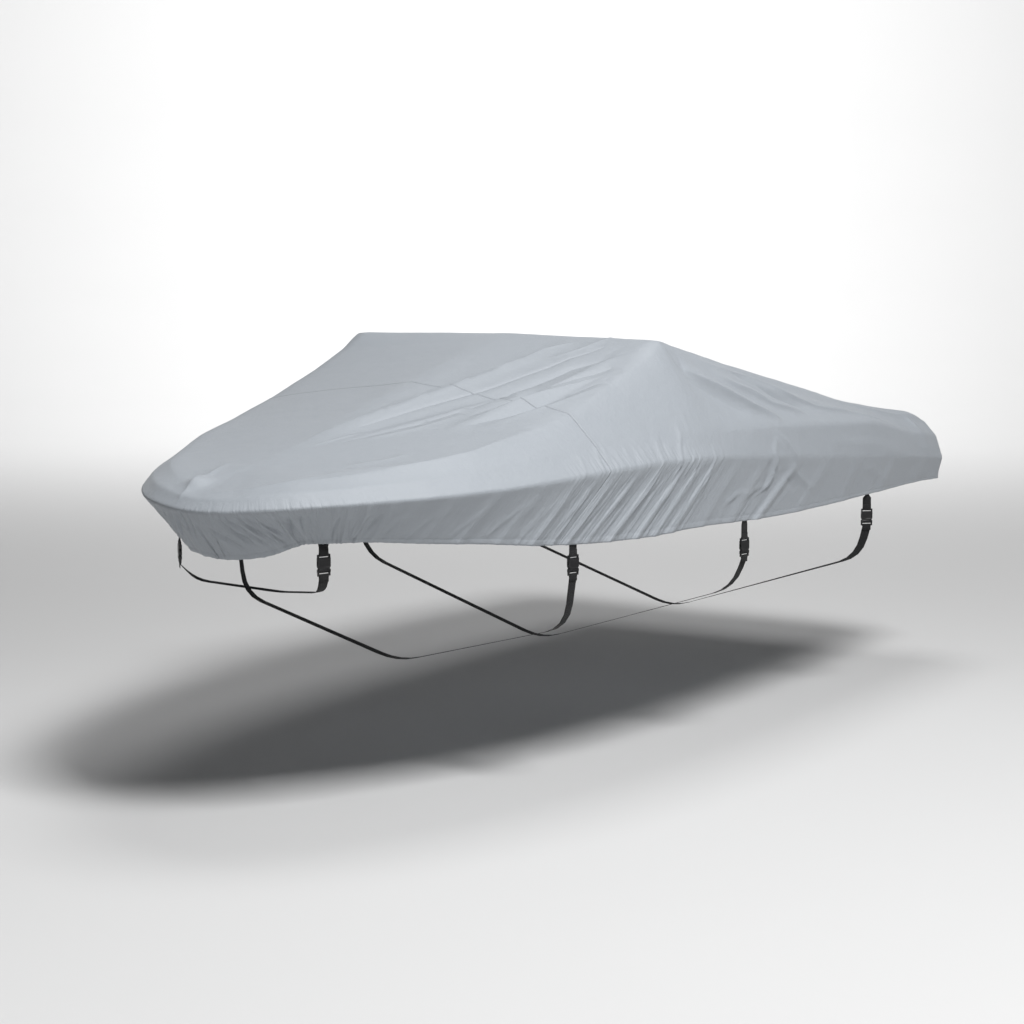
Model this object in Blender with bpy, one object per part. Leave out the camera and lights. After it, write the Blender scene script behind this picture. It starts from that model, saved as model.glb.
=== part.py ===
"""A fitted boat cover: two grey cloth panels joined by a cross seam, with eight webbing tabs sewn
inside the hem, eight side-release buckles, and four long straps that cross underneath.

Frame: metres, +Z up, bow end towards -Y, port side at +X.  The origin lies on the centre line, just
under the highest line of the cloth.  In the tables below lengths are "aft" of the bow tip and heights
are above the floor, as a person would measure the cover in place; place() turns them into the frame.
"""
from collections import namedtuple
import math

import bmesh
import bpy
import numpy as np
from mathutils import Matrix, Vector

# ---- driving dimensions ---------------------------------------------------------------------------
LENGTH = 4.345              # bow tip to stern, over the rail line
CORNER_RADIUS = 0.035       # stern corners, in plan
APEX_AFT = 1.93             # the highest line of the cloth, aft of the bow tip
APEX_HEIGHT = 1.6425        # height above the floor of the origin, just under the cloth there
CLOTH = 0.002               # thickness of the cloth
SEAM_AFT = 1.28             # the cross seam
SEAM_GAP = 0.0006           # left between the two panels at the seam
BOW_POLE = 0.35             # aft of this the sections run straight across; ahead of it they fan out
STERN_POLE = LENGTH - 0.40  # and abaft this they fan out round the stern
TAUTNESS = 0.55             # 1 is straight between the rows of a table, 0 is fully rounded

# Webbing and buckles.
WEBBING_WIDTH = 0.038
WEBBING_THICKNESS = 0.0016
TAB_GAP = 0.0008            # between the cloth's inner face and a tab
HEM_CLEAR = 0.003           # a tab keeps the slope of the skirt this far below the hem
TAB_SEWN = 0.042            # length of each tab inside the hem
TWIST_LENGTH = 0.014        # a tab that is twisted has its full turn this far below its bend
SEWN_OFFSET = 0.00095       # doubled webbing lies this far either side of its middle
SEWN_START = 0.012          # doubled webbing comes together this far from its bar
SEWN_END = 0.024            # and its sewn end is this far from it
LOOP_RADIUS = 0.0035        # of the webbing's middle round a bar
LOOP_STEPS = 5
BAR_RADIUS = 0.0022
BUCKLE_HALF = 0.025         # half the buckle's width
PLUG_BAR = 0.067            # the plug's bar is this far below the socket's
SOCKET_MOUTH = -0.044       # lower end of the socket, from its bar
BEND_STEPS = 4              # in each rounded bend of a long strap
UP = Vector((0.0, 0.0, 1.0))
AFT = Vector((0.0, 1.0, 0.0))

# Cutting the folds of the top into the sheet.
FOOT = 1.5                  # the feet of a fold lie this many widths from its crest
FOLD_REACH = 0.12           # faces whose middle is within this of a cut are cut
SNAP = 0.008                # a corner this near a cut is used for it

# Half breadth of the rail line, the edge where the cover turns down into its skirt.
Breadth = namedtuple("Breadth", "aft half")
RAIL_PLAN = [
    Breadth(0.00, 0.000), Breadth(0.02, 0.128), Breadth(0.05, 0.208), Breadth(0.10, 0.297),
    Breadth(0.20, 0.411), Breadth(0.35, 0.529), Breadth(0.50, 0.619), Breadth(0.75, 0.727),
    Breadth(1.00, 0.807), Breadth(1.50, 0.911), Breadth(2.00, 0.965), Breadth(2.60, 0.990),
    Breadth(3.40, 0.990), Breadth(LENGTH, 0.960),
]

# Section of the cover at each way: the distance aft of the bow tip, and past LENGTH the distance in
# from the stern corner.  rail, ridge and hem are heights.  edge_in and ridge_in are how far inboard
# of the rail the rounded edge and the ridge lie, edge_up is the edge's height above the rail, and
# hem_in is how far the hem is drawn in under the rail.
Section = namedtuple("Section", "way rail edge_in edge_up ridge_in ridge hem_in hem")
SECTIONS = [
    Section(0.00, 1.122, 0.035, 0.040, 0.105, 1.185, 0.145, 0.945),
    Section(0.05, 1.132, 0.040, 0.045, 0.110, 1.200, 0.138, 0.960),
    Section(0.15, 1.142, 0.045, 0.048, 0.120, 1.218, 0.130, 1.006),
    Section(0.30, 1.150, 0.050, 0.050, 0.130, 1.233, 0.125, 1.005),
    Section(0.50, 1.156, 0.055, 0.056, 0.138, 1.256, 0.118, 0.988),
    Section(0.75, 1.164, 0.062, 0.068, 0.128, 1.292, 0.105, 0.967),
    Section(1.00, 1.176, 0.075, 0.090, 0.160, 1.334, 0.090, 0.940),
    Section(1.30, 1.192, 0.090, 0.107, 0.190, 1.398, 0.075, 0.923),
    Section(1.60, 1.198, 0.085, 0.115, 0.230, 1.492, 0.057, 0.918),
    Section(1.80, 1.195, 0.052, 0.099, 0.245, 1.568, 0.050, 0.924),
    Section(1.93, 1.190, 0.045, 0.098, 0.252, 1.632, 0.047, 0.924),
    Section(2.05, 1.182, 0.040, 0.103, 0.255, 1.606, 0.044, 0.920),
    Section(2.50, 1.149, 0.034, 0.124, 0.262, 1.508, 0.035, 0.906),
    Section(3.00, 1.107, 0.033, 0.141, 0.240, 1.408, 0.030, 0.902),
    Section(3.50, 1.068, 0.033, 0.153, 0.208, 1.310, 0.027, 0.906),
    Section(4.00, 1.024, 0.032, 0.108, 0.140, 1.235, 0.023, 0.905),
    Section(LENGTH, 0.992, 0.032, 0.103, 0.090, 1.165, 0.020, 0.893),
    Section(4.63, 0.985, 0.030, 0.135, 0.080, 1.185, 0.020, 0.888),
    Section(5.29, 0.985, 0.030, 0.140, 0.080, 1.195, 0.020, 0.885),
]

# Height of the cloth on the centre line.
Crown = namedtuple("Crown", "aft height")
CROWNS = [
    Crown(0.00, 1.160), Crown(0.35, 1.250), Crown(0.60, 1.308), Crown(1.00, 1.414),
    Crown(1.30, 1.488), Crown(1.60, 1.562), Crown(1.93, 1.645), Crown(2.05, 1.628),
    Crown(2.50, 1.530), Crown(3.00, 1.430), Crown(3.50, 1.332), Crown(3.93, 1.262),
    Crown(LENGTH, 1.200),
]


# ---- curves through the tables --------------------------------------------------------------------
def column(rows, name):
    """One named column of a table, as an array."""
    return np.array([getattr(row, name) for row in rows])


def slopes(xs, ys):
    """Slope at each point of a curve that never overshoots its points."""
    step = np.diff(xs)
    chord = np.diff(ys) / step
    slope = np.zeros(len(xs))
    slope[0], slope[-1] = chord[0], chord[-1]
    for i in range(1, len(xs) - 1):
        before, after = chord[i - 1], chord[i]
        if before * after > 0:
            near, far = 2 * step[i] + step[i - 1], step[i] + 2 * step[i - 1]
            slope[i] = (near + far) / (near / before + far / after)
    return slope


def curve(x, xs, ys, tautness=0.0):
    """Value at x of a rounded curve through the points, mixed with straight lines by tautness."""
    x = np.clip(x, xs[0], xs[-1])
    i = np.clip(np.searchsorted(xs, x, side="right") - 1, 0, len(xs) - 2)
    step = xs[i + 1] - xs[i]
    t = (x - xs[i]) / step
    slope = slopes(xs, ys)
    rounded = ((1 + 2 * t) * (1 - t) ** 2 * ys[i] + t * (1 - t) ** 2 * step * slope[i]
               + t * t * (3 - 2 * t) * ys[i + 1] + t * t * (t - 1) * step * slope[i + 1])
    straight = ys[i] + t * (ys[i + 1] - ys[i])
    return tautness * straight + (1 - tautness) * rounded


def section(way):
    """Every column of SECTIONS at this way round the cover."""
    ways = column(SECTIONS, "way")
    values = [curve(way, ways, column(SECTIONS, name), TAUTNESS) for name in Section._fields[1:]]
    return Section(way, *values)


def taut_at(aft):
    """How straight a section runs between its points here: rounded only just ahead of the apex."""
    return float(np.interp(aft, [0.9, 1.3, 1.7, 2.0], [1.0, TAUTNESS, TAUTNESS, 1.0]))


def crown_height(aft):
    return curve(aft, column(CROWNS, "aft"), column(CROWNS, "height"), TAUTNESS)


def half_breadth(aft):
    """Half breadth of the rail line; it is read by the root of aft, as a blunt bow needs."""
    aft = np.maximum(aft, 0.0)
    return curve(np.sqrt(aft), np.sqrt(column(RAIL_PLAN, "aft")), column(RAIL_PLAN, "half"))


# ---- the rail line, as one line round the port side -----------------------------------------------
def rail_outline(samples=600, corner_steps=12):
    """Points (half, aft) from the bow tip down the port side and across the stern to the middle."""
    side_end = LENGTH - CORNER_RADIUS
    afts = side_end * np.linspace(0.0, 1.0, samples) ** 2
    side = np.stack([half_breadth(afts), afts], axis=1)
    turn = np.linspace(0.0, math.pi / 2, corner_steps + 1)[1:]
    centre = np.array([side[-1, 0] - CORNER_RADIUS, side_end])
    corner = centre + CORNER_RADIUS * np.stack([np.cos(turn), np.sin(turn)], axis=1)
    return np.concatenate([side, corner, [[0.0, LENGTH]]])


OUTLINE = rail_outline()
ROUND = np.concatenate([[0.0], np.cumsum(np.linalg.norm(np.diff(OUTLINE, axis=0), axis=1))])
GIRTH = ROUND[-1]                       # from the bow tip round one side to the middle of the stern


def rail_point(distance):
    """(half, aft) of the rail line at this distance round from the bow tip."""
    return np.array([np.interp(distance, ROUND, OUTLINE[:, 0]),
                     np.interp(distance, ROUND, OUTLINE[:, 1])])


def rail_normal(distance, reach=0.02):
    """Outward direction in plan, square to the rail line."""
    ahead = rail_point(min(distance + reach, GIRTH))
    behind = rail_point(max(distance - reach, 0.0))
    if distance < reach:
        behind = np.array([-ahead[0], ahead[1]])
    if distance > GIRTH - reach:
        ahead = np.array([-behind[0], behind[1]])
    along = ahead - behind
    along /= np.linalg.norm(along)
    return np.array([along[1], -along[0]])


def way_at(distance):
    """The way that the tables are read by, at this distance round the rail line."""
    half, aft = rail_point(distance)
    turned = half_breadth(LENGTH - CORNER_RADIUS) - half if aft > LENGTH - CORNER_RADIUS else 0.0
    return aft + turned


def distance_at(aft):
    """Distance round the rail line to the point this far aft on the side."""
    return float(np.interp(aft, OUTLINE[:-1, 1], ROUND[:-1]))


# ---- folds ----------------------------------------------------------------------------------------
# Folds of the skirt run from a distance round the rail line down to a distance round the hem, and
# stand out by a depth there: both sides share rail_at, and have their own hem end and depth.
SkirtFold = namedtuple("SkirtFold", "rail_at width port_hem port_depth starboard_hem starboard_depth")
SKIRT_FOLDS = [
    SkirtFold(0.045, 0.020, 0.040, 0.007, 0.035, 0.006),
    SkirtFold(0.100, 0.018, 0.150, 0.011, 0.130, 0.008),
    SkirtFold(0.150, 0.018, 0.240, 0.010, 0.215, 0.011),
    SkirtFold(0.205, 0.018, 0.310, 0.011, 0.290, 0.008),
    SkirtFold(0.265, 0.018, 0.370, 0.010, 0.350, 0.010),
    SkirtFold(0.335, 0.018, 0.415, 0.008, 0.405, 0.008),
    SkirtFold(0.540, 0.020, 0.535, 0.008, 0.540, 0.009),
    SkirtFold(0.610, 0.020, 0.590, 0.010, 0.600, 0.007),
    SkirtFold(0.700, 0.022, 0.650, 0.010, 0.670, 0.009),
    SkirtFold(0.790, 0.024, 0.720, 0.007, 0.760, 0.008),
    SkirtFold(0.940, 0.030, 0.850, 0.006, 0.890, 0.005),
    SkirtFold(1.120, 0.032, 1.000, 0.008, 1.040, 0.004),
    SkirtFold(1.330, 0.032, 1.180, 0.006, 1.230, 0.008),
    SkirtFold(1.490, 0.028, 1.330, 0.010, 1.400, 0.011),
    SkirtFold(1.600, 0.024, 1.420, 0.007, 1.450, 0.010),
    SkirtFold(1.700, 0.024, 1.486, 0.013, 1.500, 0.009),
    SkirtFold(1.840, 0.022, 1.595, 0.009, 1.605, 0.010),
    SkirtFold(1.975, 0.024, 1.716, 0.013, 1.726, 0.008),
    SkirtFold(2.128, 0.022, 1.868, 0.011, 1.880, 0.011),
    SkirtFold(2.240, 0.022, 1.975, 0.008, 1.990, 0.006),
    SkirtFold(2.345, 0.024, 2.080, 0.009, 2.115, 0.009),
    SkirtFold(2.520, 0.036, 2.280, 0.005, 2.330, 0.005),
    SkirtFold(2.740, 0.040, 2.500, 0.006, 2.560, 0.004),
    SkirtFold(3.040, 0.038, 2.690, 0.014, 2.740, 0.010),
    SkirtFold(3.330, 0.045, 3.080, 0.006, 3.150, 0.009),
    SkirtFold(3.640, 0.045, 3.520, 0.005, 3.560, 0.005),
    SkirtFold(4.060, 0.045, 3.920, 0.006, 3.960, 0.008),
    SkirtFold(4.420, 0.045, 4.380, 0.005, 4.390, 0.004),
    SkirtFold(4.920, 0.040, 4.900, 0.007, 4.890, 0.006),
    SkirtFold(5.160, 0.040, 5.170, 0.006, 5.150, 0.007),
]

# Folds of the top run between two places, given as x (port is +) and aft, and stand up by a height.
# Each has its own width on its starboard and its port slope; a height below 0 is a trough.
TopFold = namedtuple("TopFold", "x1 aft1 x2 aft2 starboard_width port_width height")
TOP_FOLDS = [
    TopFold(0.00, 0.64, 0.34, 1.90, 0.022, 0.050, 0.014),
    TopFold(0.05, 0.55, 0.61, 1.87, 0.046, 0.020, -0.009),
    TopFold(0.40, 0.90, 0.61, 1.84, 0.022, 0.036, 0.012),
    TopFold(0.47, 0.94, 0.65, 1.70, 0.030, 0.018, -0.008),
    TopFold(0.765, 2.02, 0.935, 2.57, 0.030, 0.020, 0.018),
    TopFold(0.775, 2.22, 0.910, 2.86, 0.024, 0.018, 0.011),
    TopFold(0.745, 2.16, 0.890, 3.36, 0.030, 0.022, 0.014),
    TopFold(0.690, 2.20, 0.770, 3.60, 0.030, 0.026, 0.006),
    TopFold(-0.74, 1.20, -0.74, 1.82, 0.024, 0.024, 0.010),
    TopFold(-0.76, 2.04, -0.93, 2.66, 0.022, 0.030, 0.018),
    TopFold(-0.73, 2.12, -0.89, 3.30, 0.022, 0.030, 0.015),
]

# Soft mounds where something under the cloth carries it.
Mound = namedtuple("Mound", "x aft radius height")
MOUNDS = [Mound(-0.10, 0.14, 0.040, 0.020), Mound(0.85, 4.13, 0.110, 0.014)]


def bump(offset, width):
    """A soft crest across a fold: 1 on its line and 0 well clear of it."""
    return math.exp(-(offset / width) ** 2)


def top_relief(x, aft):
    """How far the folds and mounds of the top lift the cloth at a place."""
    lift = 0.0
    for fold in TOP_FOLDS:
        run_x, run_aft = fold.x2 - fold.x1, fold.aft2 - fold.aft1
        length = math.hypot(run_x, run_aft)
        along = ((x - fold.x1) * run_x + (aft - fold.aft1) * run_aft) / length ** 2
        across = ((x - fold.x1) * run_aft - (aft - fold.aft1) * run_x) / length
        if 0.0 < along < 1.0:
            width = fold.port_width if across > 0 else fold.starboard_width
            lift += fold.height * bump(across, width) * math.sin(math.pi * along) ** 0.7
    for mound in MOUNDS:
        lift += mound.height * bump(math.hypot(x - mound.x, aft - mound.aft), mound.radius)
    return lift


def skirt_relief(side, distance, drop):
    """How far the skirt folds stand out, in the column at this distance and this share of the drop."""
    out = 0.0
    for fold in SKIRT_FOLDS:
        depth = fold.port_depth if side > 0 else fold.starboard_depth
        out += depth * bump(distance - fold.rail_at, fold.width)
    return out * min(drop / 0.4, 1.0)


# ---- the cloth's surface --------------------------------------------------------------------------
# A column is one section of one side, from the hem to the centre line.  Its rows are numbered by
# level: -1 is the hem, 0 the rail line, 1 the top of the rounded edge, 2 the ridge, 3 the centre.
LEVELS = [-1.0, -0.72, -0.44, -0.18, 0.0, 0.4, 1.0, 1.33, 1.67, 2.0, 2.17, 2.33, 2.5, 2.67, 2.83, 3.0]
WIDEST_COLUMN = 0.11        # columns are put in where the folds leave a wider stretch

# hem_at is round the hem; _on is how far abaft the tab a place lies; turn is how many degrees the
# port tab is twisted as it leaves the hem, + towards the stern.
Strap = namedtuple("Strap", "hem_at tab turn chine_half chine_height chine_on keel_height keel_on bend")
STRAPS = [
    Strap(0.468, 0.042, 25, 0.275, 0.828, 0.040, 0.790, 0.170, 0.045),
    Strap(1.541, 0.040, 0, 0.740, 0.622, 0.000, 0.425, 0.000, 0.090),
    Strap(2.623, 0.070, -8, 0.890, 0.640, 0.000, 0.350, 0.000, 0.090),
    Strap(3.806, 0.066, -50, 0.925, 0.625, 0.000, 0.320, 0.000, 0.090),
]
STRAP_FLAT = 0.024          # the hem is flat this far either side of a tab's middle


def fold_knots(side):
    """Distances round the rail line, and round the hem, that the skirt's folds run between."""
    rails = [0.0] + [fold.rail_at for fold in SKIRT_FOLDS] + [GIRTH]
    hems = [fold.port_hem if side > 0 else fold.starboard_hem for fold in SKIRT_FOLDS]
    return rails, [0.0] + hems + [GIRTH]


def strap_flats():
    """(rail, hem) distances of the two columns beside each tab, the same on both sides."""
    rails, hems = fold_knots(1)
    edges = [strap.hem_at + reach for strap in STRAPS for reach in (-STRAP_FLAT, STRAP_FLAT)]
    return [(float(np.interp(hem, hems, rails)), hem) for hem in edges]


def hem_distance(side, distance):
    """Where the column that leaves the rail line at this distance meets the hem."""
    rails, hems = zip(*sorted(list(zip(*fold_knots(side))) + strap_flats()))
    return float(np.interp(distance, rails, hems))


def column_points(side, distance, levels):
    """Points (x, aft, height) of one column, with the skirt's folds and before the top's."""
    rail_row = section(way_at(distance))
    rail = rail_point(distance)
    hem_at = hem_distance(side, distance)
    hem_row = section(way_at(hem_at))
    outward = rail_normal(hem_at)
    hem = rail_point(hem_at) - outward * hem_row.hem_in
    pole = np.array([0.0, min(max(rail[1], BOW_POLE), STERN_POLE)])
    reach = np.linalg.norm(pole - rail)
    inward = (pole - rail) / reach
    knots = np.array([0.0, rail_row.edge_in, rail_row.ridge_in, reach])
    edge = rail_row.rail + rail_row.edge_up
    heights = np.array([rail_row.rail, edge, rail_row.ridge, crown_height(pole[1])])
    points = []
    for level in levels:
        if level < 0:
            flat = rail + (hem - rail) * -level + outward * skirt_relief(side, distance, -level)
            height = rail_row.rail + (hem_row.hem - rail_row.rail) * -level
        else:
            inboard = np.interp(level, [0, 1, 2, 3], knots)
            flat = rail + inward * inboard
            height = curve(inboard, knots, heights, taut_at(rail[1]))
        points.append((side * flat[0], flat[1], float(height)))
    return points


def column_distances():
    """Distances round the rail line of all the columns of a side: crests, troughs and the seam."""
    fixed = fold_knots(1)[0]
    fixed += [(near + far) / 2 for near, far in zip(fixed, fixed[1:]) if far - near < 0.3]
    corner = distance_at(LENGTH - CORNER_RADIUS)
    turn = GIRTH - OUTLINE[-2, 0] - corner
    fixed += [distance_at(SEAM_AFT), corner, corner + turn / 2, corner + turn]
    flats = [rail for rail, hem in strap_flats()]
    for near, far in zip(flats[::2], flats[1::2]):
        fixed = [at for at in fixed if not near - 0.008 < at < far + 0.008]
    fixed = sorted(fixed + flats)
    columns = []
    for near, far in zip(fixed, fixed[1:]):
        parts = max(1, math.ceil((far - near) / WIDEST_COLUMN))
        columns += [near + (far - near) * i / parts for i in range(parts)]
    return columns + [GIRTH]


def place(x, aft, height):
    """A place on the cover, in the part's frame."""
    return Vector((x, aft - APEX_AFT, height - APEX_HEIGHT))


# ---- small tools ----------------------------------------------------------------------------------
def clear_scene():
    for thing in list(bpy.data.objects):
        bpy.data.objects.remove(thing, do_unlink=True)


def material(name, color, roughness):
    """A plain Principled material."""
    made = bpy.data.materials.new(name)
    made.use_nodes = True
    shader = made.node_tree.nodes["Principled BSDF"]
    shader.inputs["Base Color"].default_value = (*color, 1.0)
    shader.inputs["Roughness"].default_value = roughness
    shader.inputs["Metallic"].default_value = 0.0
    return made


def add_object(name, mesh):
    made = bpy.data.objects.new(name, mesh)
    bpy.context.scene.collection.objects.link(made)
    return made


def mesh_from(bm, name, finish):
    mesh = bpy.data.meshes.new(name)
    bm.to_mesh(mesh)
    bm.free()
    mesh.materials.append(finish)
    return mesh


# ---- cloth panels ---------------------------------------------------------------------------------
def smooth_sheet():
    """The outer face of the whole cover as one sheet, before the folds of the top.

    Each corner keeps its level in a layer, and each face whether it lies ahead of the seam.
    """
    bm = bmesh.new()
    level_of = bm.verts.layers.float.new("level")
    ahead_of_seam = bm.faces.layers.int.new("ahead")
    seam = distance_at(SEAM_AFT)
    columns = column_distances()
    for side in (1, -1):
        grid = []
        for distance in columns:
            line = []
            for level, point in zip(LEVELS, column_points(side, distance, LEVELS)):
                corner = bm.verts.new(place(*point))
                corner[level_of] = level
                line.append(corner)
            grid.append(line)
        for distance, near, far in zip(columns, grid, grid[1:]):
            for i in range(len(LEVELS) - 1):
                loop = [near[i], far[i], far[i + 1], near[i + 1]]
                face = bm.faces.new(loop if side > 0 else loop[::-1])
                face[ahead_of_seam] = int(distance < seam - 0.001)
    bmesh.ops.remove_doubles(bm, verts=bm.verts, dist=0.00005)
    bm.normal_update()
    return bm, level_of


def cut_fold_lines(bm, level_of):
    """Puts edges along the crest and both feet of every fold of the top."""
    for fold in TOP_FOLDS:
        start = Vector((fold.x1, fold.aft1 - APEX_AFT, 0.0))
        run = Vector((fold.x2 - fold.x1, fold.aft2 - fold.aft1, 0.0))
        length = run.length
        run.normalize()
        across = Vector((run.y, -run.x, 0.0))
        for offset in (-FOOT * fold.starboard_width, 0.0, FOOT * fold.port_width):
            faces = []
            for face in bm.faces:
                middle = face.calc_center_median() - start
                beside = abs(middle.dot(across) - offset) < FOLD_REACH
                on_top = all(corner[level_of] > 0.3 for corner in face.verts)
                if beside and on_top and 0.0 < middle.dot(run) < length:
                    faces.append(face)
            edges = {edge for face in faces for edge in face.edges}
            corners = {corner for face in faces for corner in face.verts}
            bmesh.ops.bisect_plane(bm, geom=list(corners) + list(edges) + faces, dist=SNAP,
                                   plane_co=start + across * offset, plane_no=across)


def folded_sheet():
    """The outer face of the cover with all its folds, as triangles."""
    bm, level_of = smooth_sheet()
    cut_fold_lines(bm, level_of)
    bmesh.ops.triangulate(bm, faces=bm.faces, quad_method="BEAUTY", ngon_method="BEAUTY")
    bm.normal_update()
    lifts = []
    for corner in bm.verts:
        strength = min(max(corner[level_of] / 0.4, 0.0), 1.0)
        lift = top_relief(corner.co.x, corner.co.y + APEX_AFT)
        lifts.append(corner.normal * lift * strength)
    for corner, lift in zip(bm.verts, lifts):
        corner.co += lift
    return bm


def panel(name, whole, ahead, finish):
    """The part of the cover ahead of the cross seam, or abaft it, as a thin closed solid."""
    bm = whole.copy()
    ahead_of_seam = bm.faces.layers.int["ahead"]
    others = [face for face in bm.faces if bool(face[ahead_of_seam]) != ahead]
    meeting = {corner for face in others for corner in face.verts}
    for corner in meeting:
        if any(bool(face[ahead_of_seam]) == ahead for face in corner.link_faces):
            corner.co.y += SEAM_GAP / 2 * (-1 if ahead else 1)
    bmesh.ops.delete(bm, geom=others, context="FACES")
    made = add_object(name, mesh_from(bm, name, finish))
    wall = made.modifiers.new("Thickness", "SOLIDIFY")
    wall.thickness = CLOTH
    wall.offset = -1.0
    made.data.shade_smooth()
    return made


# ---- webbing --------------------------------------------------------------------------------------
def ribbon(name, path, acrosses, finish):
    """A flat strip of webbing along a path; acrosses give the direction of its width."""
    bm = bmesh.new()
    rings = []
    for i, middle in enumerate(path):
        along = (path[min(i + 1, len(path) - 1)] - path[max(i - 1, 0)]).normalized()
        wide = (acrosses[i] - along * along.dot(acrosses[i])).normalized()
        thick = along.cross(wide)
        rings.append([bm.verts.new(middle + wide * (x * WEBBING_WIDTH / 2)
                                   + thick * (y * WEBBING_THICKNESS / 2))
                      for x, y in ((-1, -1), (1, -1), (1, 1), (-1, 1))])
    for near, far in zip(rings, rings[1:]):
        for i in range(4):
            bm.faces.new((near[i], near[(i + 1) % 4], far[(i + 1) % 4], far[i]))
    bm.faces.new(rings[0][::-1])
    bm.faces.new(rings[-1])
    bmesh.ops.recalc_face_normals(bm, faces=bm.faces)
    return add_object(name, mesh_from(bm, name, finish))


def rounded(corners, radius, steps):
    """Points along straight runs between corners, each inner corner rounded off."""
    points = [corners[0]]
    for before, corner, after in zip(corners, corners[1:], corners[2:]):
        start = corner + (before - corner).normalized() * radius
        end = corner + (after - corner).normalized() * radius
        for i in range(steps + 1):
            t = i / steps
            points.append(start * (1 - t) ** 2 + corner * 2 * t * (1 - t) + end * t ** 2)
    return points + [corners[-1]]


def bar_loop(sign):
    """(out, up) of webbing sewn round a bar at (0, 0), from its main run to its sewn end."""
    arc = [math.pi * i / LOOP_STEPS for i in range(LOOP_STEPS + 1)]
    turn = [(-LOOP_RADIUS * math.cos(at), -sign * LOOP_RADIUS * math.sin(at)) for at in arc]
    lead, end = (-SEWN_OFFSET, sign * SEWN_START), (SEWN_OFFSET, sign * SEWN_START)
    return [lead] + turn + [end, (SEWN_OFFSET, sign * SEWN_END)]


class Hanging:
    """Where a tab hangs: its place on the hem, and the directions of its width and its face."""

    def __init__(self, side, strap):
        edges = [rail for rail, hem in strap_flats() if abs(hem - strap.hem_at) < 2 * STRAP_FLAT]
        above, hem = [sum((place(*column_points(side, rail, [level])[0]) for rail in edges),
                          Vector()) / 2 for level in (-0.72, -1.0)]
        near, far = [place(*column_points(side, rail, [-1.0])[0]) for rail in edges]
        normal = (far - near).cross(above - hem).normalized() * side
        self.sewn = UP.cross(normal).normalized()
        up_cloth = normal.cross(self.sewn)
        twist = math.radians(strap.turn) if side > 0 else 0.0
        self.wide = Matrix.Rotation(twist, 3, "Z") @ self.sewn
        self.out = self.wide.cross(UP)
        self.bend = hem - normal * (CLOTH + TAB_GAP + WEBBING_THICKNESS / 2) - up_cloth * HEM_CLEAR
        self.root = self.bend + up_cloth * TAB_SEWN
        self.bar = self.bend + self.out * SEWN_OFFSET - UP * strap.tab

    def at(self, out, up):
        """A point in the plane of the hanging webbing, from the middle of the upper bar."""
        return self.bar + self.out * out + UP * up


def tab(name, hanging, finish):
    """The short webbing sewn inside the hem, and round the socket's bar."""
    path = [hanging.root, hanging.bend, hanging.bend - UP * TWIST_LENGTH]
    path += [hanging.at(*point) for point in bar_loop(1)]
    acrosses = [hanging.sewn] * 2 + [hanging.wide] * (len(path) - 2)
    return ribbon(name, path, acrosses, finish)


def belly_strap(name, strap, finish):
    """The long webbing from the port plug, down, across and up to the starboard plug."""
    port, starboard = Hanging(1, strap), Hanging(-1, strap)
    loops = []
    for hanging in (port, starboard):
        loops.append([hanging.at(out, up - PLUG_BAR) for out, up in bar_loop(-1)])
    tab_aft = port.bar.y + APEX_AFT
    chines = [place(side * strap.chine_half, tab_aft + strap.chine_on, strap.chine_height)
              for side in (1, -1)]
    keel = place(0.0, tab_aft + strap.keel_on, strap.keel_height)
    under = rounded([loops[0][0], chines[0], keel, chines[1], loops[1][0]], strap.bend, BEND_STEPS)
    path = loops[0][:0:-1] + under + loops[1][1:]
    top, bottom = port.bar.z - PLUG_BAR - SEWN_END, keel.z
    acrosses = []
    for point in path:
        share = min(max((point.z - bottom) / (top - bottom), 0.0), 1.0)
        hanging = port if point.x > 0 else starboard
        wide = hanging.wide * (1.0 if hanging.wide.y > 0 else -1.0)
        acrosses.append(wide * share + AFT * (1.0 - share))
    return ribbon(name, path, acrosses, finish)


# ---- buckles --------------------------------------------------------------------------------------
def slab(outline, thickness, name):
    """A flat piece: an outline in (x, z), as thick as given along y, about y = 0."""
    bm = bmesh.new()
    face = bm.faces.new([bm.verts.new((x, -thickness / 2, z)) for x, z in outline])
    grown = bmesh.ops.extrude_face_region(bm, geom=[face])["geom"]
    moved = [item for item in grown if isinstance(item, bmesh.types.BMVert)]
    bmesh.ops.translate(bm, verts=moved, vec=(0.0, thickness, 0.0))
    bmesh.ops.recalc_face_normals(bm, faces=bm.faces)
    mesh = bpy.data.meshes.new(name)
    bm.to_mesh(mesh)
    bm.free()
    return add_object(name, mesh)


def box(low, high, name):
    """A box between two corners."""
    outline = [(low[0], low[2]), (high[0], low[2]), (high[0], high[2]), (low[0], high[2])]
    made = slab(outline, high[1] - low[1], name)
    made.data.transform(Matrix.Translation((0.0, (low[1] + high[1]) / 2, 0.0)))
    return made


def bar(height, name):
    """A round bar across the buckle."""
    bm = bmesh.new()
    bmesh.ops.create_cone(bm, cap_ends=True, segments=8, radius1=BAR_RADIUS, radius2=BAR_RADIUS,
                          depth=2 * BUCKLE_HALF - 0.004)
    bmesh.ops.rotate(bm, verts=bm.verts, matrix=Matrix.Rotation(math.pi / 8, 3, "Z"))
    bmesh.ops.rotate(bm, verts=bm.verts, matrix=Matrix.Rotation(math.pi / 2, 3, "Y"))
    bmesh.ops.translate(bm, verts=bm.verts, vec=(0.0, 0.0, height))
    mesh = bpy.data.meshes.new(name)
    bm.to_mesh(mesh)
    bm.free()
    return add_object(name, mesh)


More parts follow.
